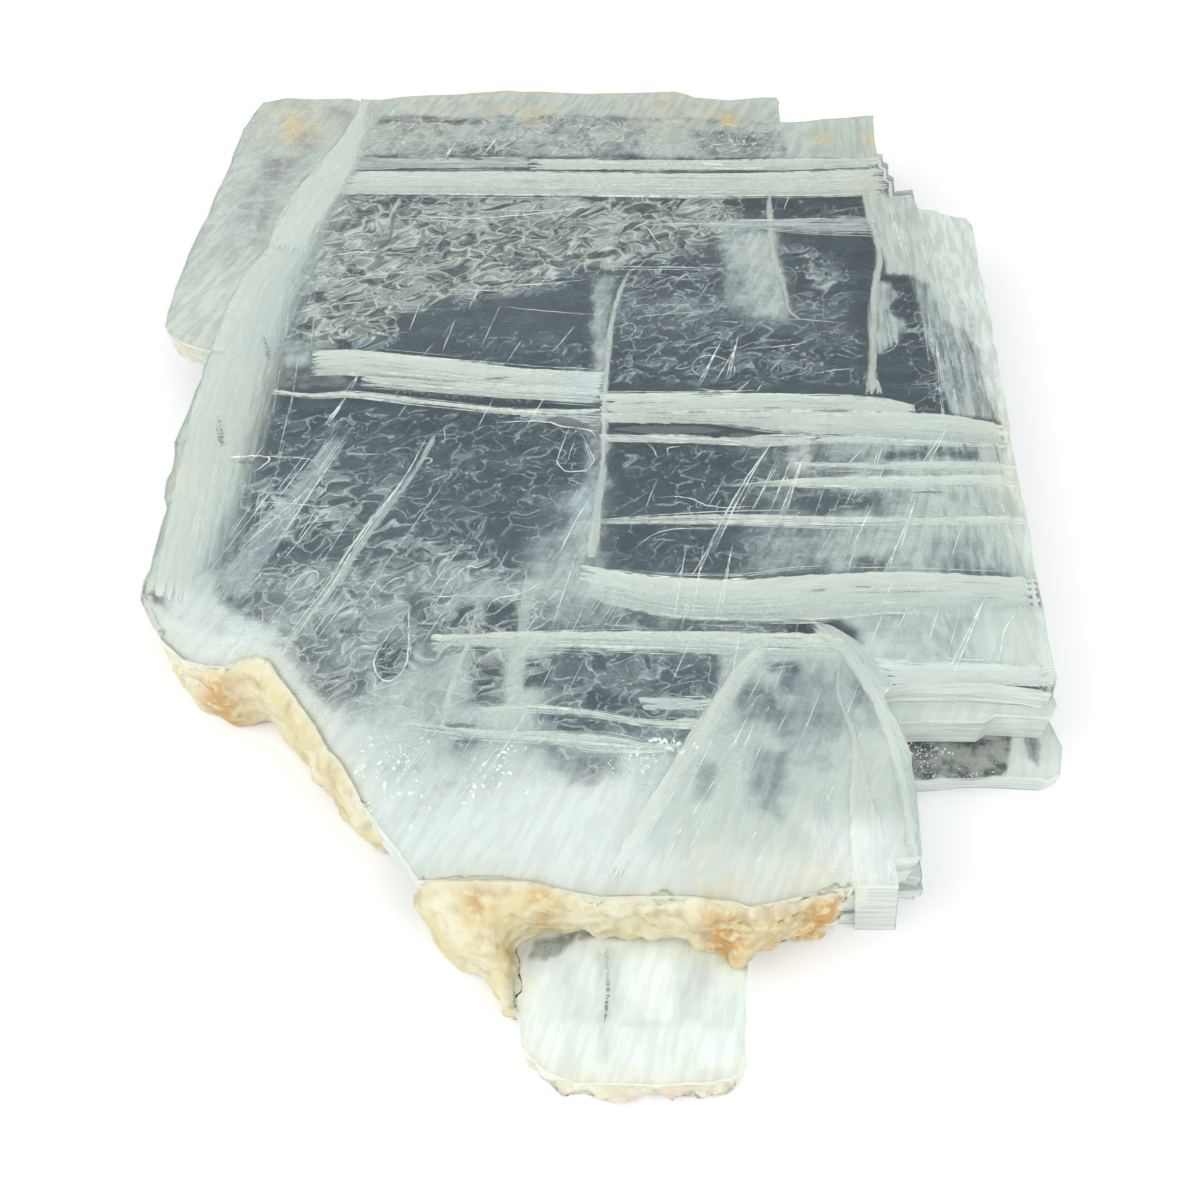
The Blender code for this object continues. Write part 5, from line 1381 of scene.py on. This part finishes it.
class SELENITE_OT_threads(bpy.types.Operator):
    """Build the needles, the bright hairline cracks and the white flakes"""

    bl_idname = "selenite.threads"
    bl_label = "Needles, cracks and flakes"

    def execute(self, context):
        veils = context.scene.selenite_veils
        white = thread_material("white_thread", (0.84, 0.9, 0.86))
        inside = CrystalInside()
        draw = random.Random(veils.seed)
        needles = []
        for x, y, wide, deep, count, short, long, angle, thickness in NEEDLES:
            for _ in range(count):
                heading = math.radians(angle + draw.gauss(0, 2.2))
                half = draw.uniform(short, long) / 2
                cx, cy = x + draw.uniform(-wide, wide), y + draw.uniform(-deep, deep)
                depth = draw.uniform(0.5, 1.7)
                ends = [seen_at(cx - s * half * math.cos(heading), cy - s * half * math.sin(heading),
                                depth + s * draw.uniform(0, 0.3)) for s in (-1, 1)]
                girth = thickness * draw.uniform(0.5, 1.3)
                if all(inside.holds(end, MM) for end in ends):
                    needles.append((ends, girth))
        add_threads("needles", needles, 5, white)
        edges = [(line, thickness) for line, _, _, thickness in LAMELLAE]
        edges += [([(x + gap * k / (len(line) - 1), y) for k, (x, y) in enumerate(line)], thickness)
                  for line, gap, _, thickness in LAMELLAE if gap]
        cracks = []
        for jitter, lines in ((0.12, CRACKS), (0.05, edges)):
            for line, thickness in lines:
                count = max(3, int(resampled(line, 2)[1] / 1.5))
                smooth, _ = resampled(rounded(line, 1), count)
                path = [seen_at(x + draw.gauss(0, jitter), y + draw.gauss(0, jitter), 0.45) for x, y in smooth]
                if all(inside.holds(point) for point in path):
                    cracks.append((path, thickness))
        add_threads("hairline_cracks", cracks, 48, white)
        spots, sizes = [], []
        for top, depths, bundles in ((TOP, (0.5, 1.6), FLAKES), (LOW_TOP, (0.2, 0.25), LOW_FLAKES)):
            for x, y, wide, deep, count, size in bundles:
                for _ in range(count):
                    spot = seen_at(x + draw.gauss(0, wide / 2), y + draw.gauss(0, deep / 2), draw.uniform(*depths), top)
                    flake = size * draw.uniform(0.3, 1.1) / 2
                    if inside.holds(spot, 0.2 * MM):
                        spots.append(spot)
                        sizes.append(flake * MM)
        seeds = bpy.data.meshes.new("flakes")
        seeds.from_pydata(spots, [], [])
        add_point_values(seeds, girth=sizes)
        mesh = grown_mesh("flakes", seeds, flake_tree(), {"Material": white})
        new_piece("flakes", mesh, white, sheer=True)
        return {"FINISHED"}


# Rusty places on the crusts: plan point, radius mm, strength
CRUST_STAINS = [(-127, -30, 9, 0.9), (36, -111, 8, 1.0), (64, -104, 9, 1.0), (50, -106, 6, 0.6), (-35, -104, 5, 0.8),
                (-16, -102, 6, 0.8), (-24, -113, 5, 0.8), (-100, -44, 8, 0.3), (12, -112, 8, 0.25), (-84, -62, 6, 0.3)]


class SELENITE_OT_crusts(bpy.types.Operator):
    """Build the three patches of matrix crust"""

    bl_idname = "selenite.crusts"
    bl_label = "Crusts"

    def execute(self, context):
        crusts = context.scene.selenite_crusts
        cream = crust_material(crusts, "earthy_crust", crusts.cream)
        pink = crust_material(crusts, "pinkish_crust", (0.50, 0.41, 0.33))
        for node, material, slot in (("left_crust", cream, "crust"), ("front_crust", cream, "crust"),
                                     ("tip_crust", pink, "tip_crust")):
            rough = self.roughened(node)
            new_piece(node + "_stone", rough, material, [node])
        return {"FINISHED"}

    def roughened(self, node):
        """The crust's solid again with fine lumps and pits in its skin."""
        work = bpy.data.objects.new(node + "_work", merged_copy(node, node + "_stone"))
        bpy.context.scene.collection.objects.link(work)
        remesh = work.modifiers.new("Remesh", "REMESH")
        remesh.mode = "VOXEL"
        remesh.voxel_size = SKIN_VOXEL * MM
        bpy.context.view_layer.update()
        mesh = bpy.data.meshes.new_from_object(work.evaluated_get(bpy.context.evaluated_depsgraph_get()))
        bpy.data.objects.remove(work)
        mesh.name = node + "_stone"
        # How deep each dent is, kept for the painted shade in the pits
        pits = []
        normals = [v.normal.copy() for v in mesh.vertices]
        for vertex, normal in zip(mesh.vertices, normals):
            lump = noise.fractal(vertex.co / (LUMP_SIZE * MM), 1.0, 2.1, 5)
            cell = noise.cell_vector(vertex.co / (CELL_SIZE * MM)).x
            dent = min(0.0, lump - 0.35) * 0.9 - 0.35 * cell
            vertex.co += normal * dent * MM * 0.9
            vertex.co.z = max(vertex.co.z, 0.0)
            pits.append(max(0.0, -lump - 0.1) * 1.2)
        inside = CrystalInside()
        seams = []
        for vertex, normal in zip(mesh.vertices, normals):
            near, wall, _, gap = inside.tree.find_nearest(vertex.co)
            seams.append(min(max(1.2 - gap / (CHALKY * MM), 0.0), 1.0))
            seam = min(max(1.6 - gap / (CLOSING * MM), 0.0), 1.0)
            if vertex.co.z > 0.5 * MM:
                vertex.co += (near - wall * 0.5 * MM - vertex.co) * seam
            if node != "tip_crust" and normal.z > 0.2 and vertex.co.z > 24 * MM:
                lift = min(max(1.3 - gap / (RISING * MM), 0.0), 1.0)
                vertex.co.z += (RISEN_TOP * MM - vertex.co.z) * lift * normal.z
            vertex.co.z = min(max(vertex.co.z, 0.0), CRUST_TOP * MM)
        spots = plan_of([v.co for v in mesh.vertices], 0)
        # No painted shade in the pits near the crystal, where the skin turns chalky
        pits = [pit * (1 - seam) for pit, seam in zip(pits, seams)]
        add_point_values(mesh, pit=pits, seam=seams, stain=soft_spots(spots, CRUST_STAINS))
        mesh.shade_smooth()
        return mesh


class SELENITE_OT_stage(bpy.types.Operator):
    """Build the floor, the lamps and the camera"""

    bl_idname = "selenite.stage"
    bl_label = "Stage"

    def execute(self, context):
        stage = context.scene.selenite_stage
        scene = context.scene
        half, drop = 4.0, -0.0003
        floor = bpy.data.meshes.new("floor")
        floor.from_pydata([(-half, -half, drop), (half, -half, drop), (half, half, drop), (-half, half, drop)], [],
                          [(0, 1, 2, 3)])
        floor.materials.append(new_material("pale_floor", 0.9, [stage.floor_shade] * 3)[0])
        ground = bpy.data.objects.new("floor", floor)
        scene.collection.objects.link(ground)
        world = bpy.data.worlds.new("even_light")
        world.use_nodes = True
        world.node_tree.nodes["Background"].inputs["Strength"].default_value = stage.sky
        world.node_tree.nodes["Background"].inputs["Color"].default_value = (1.0, 1.0, 1.0, 1.0)
        scene.world = world
        self.lamp(scene, "key", (-1.5, -0.35, 1.3), 1.3, stage.key)
        self.lamp(scene, "fill", (1.3, -0.9, 1.4), 1.3, stage.fill)
        self.lamp(scene, "front", (0.1, -1.9, 0.7), 1.2, stage.front)
        lens = bpy.data.cameras.new("camera")
        lens.lens = lens.sensor_width = 36.0
        camera = bpy.data.objects.new("camera", lens)
        scene.collection.objects.link(camera)
        aim = Vector((-CENTRE_X * MM, -CENTRE_Y * MM, TOP * MM))
        back = Vector((0.0, -math.cos(stage.eye_angle), math.sin(stage.eye_angle)))
        camera.location = aim + back * stage.eye_distance
        camera.rotation_euler = (math.pi / 2 - stage.eye_angle, 0.0, 0.0)
        scene.camera = camera
        scene.view_settings.view_transform = "Standard"
        scene.cycles.transparent_max_bounces = 24
        return {"FINISHED"}

    def lamp(self, scene, name, place, size, power):
        light = bpy.data.lights.new(name, "AREA")
        light.size = size
        light.energy = power
        lamp = bpy.data.objects.new(name, light)
        lamp.location = place
        lamp.rotation_euler = (-Vector(place)).to_track_quat("-Z", "Y").to_euler()
        scene.collection.objects.link(lamp)


class SELENITE_PT_panel(bpy.types.Panel):
    """Lists the slab's builders and their settings"""

    bl_label = "Selenite slab"
    bl_idname = "SELENITE_PT_panel"
    bl_space_type = "VIEW_3D"
    bl_region_type = "UI"
    bl_category = "Selenite"

    def draw(self, context):
        for operator in OPERATORS:
            self.layout.operator(operator.bl_idname)
        for label in SETTINGS:
            settings = getattr(context.scene, label)
            for field in settings.__annotations__:
                self.layout.prop(settings, field)


SETTINGS = {"selenite_stone": StoneSettings, "selenite_veils": VeilSettings, "selenite_crusts": CrustSettings,
            "selenite_stage": StageSettings}
OPERATORS = (SELENITE_OT_crystal, SELENITE_OT_haze, SELENITE_OT_bands, SELENITE_OT_threads, SELENITE_OT_crusts,
             SELENITE_OT_stage)


def register():
    for label, group in SETTINGS.items():
        bpy.utils.register_class(group)
        setattr(bpy.types.Scene, label, PointerProperty(type=group))
    for cls in (*OPERATORS, SELENITE_PT_panel):
        bpy.utils.register_class(cls)


def unregister():
    for cls in (SELENITE_PT_panel, *reversed(OPERATORS)):
        bpy.utils.unregister_class(cls)
    for label, group in SETTINGS.items():
        delattr(bpy.types.Scene, label)
        bpy.utils.unregister_class(group)


def main():
    register()
    bpy.ops.selenite.crystal()
    bpy.ops.selenite.haze()
    bpy.ops.selenite.bands()
    bpy.ops.selenite.threads()
    bpy.ops.selenite.crusts()
    bpy.ops.selenite.stage()


if __name__ == "__main__":
    main()
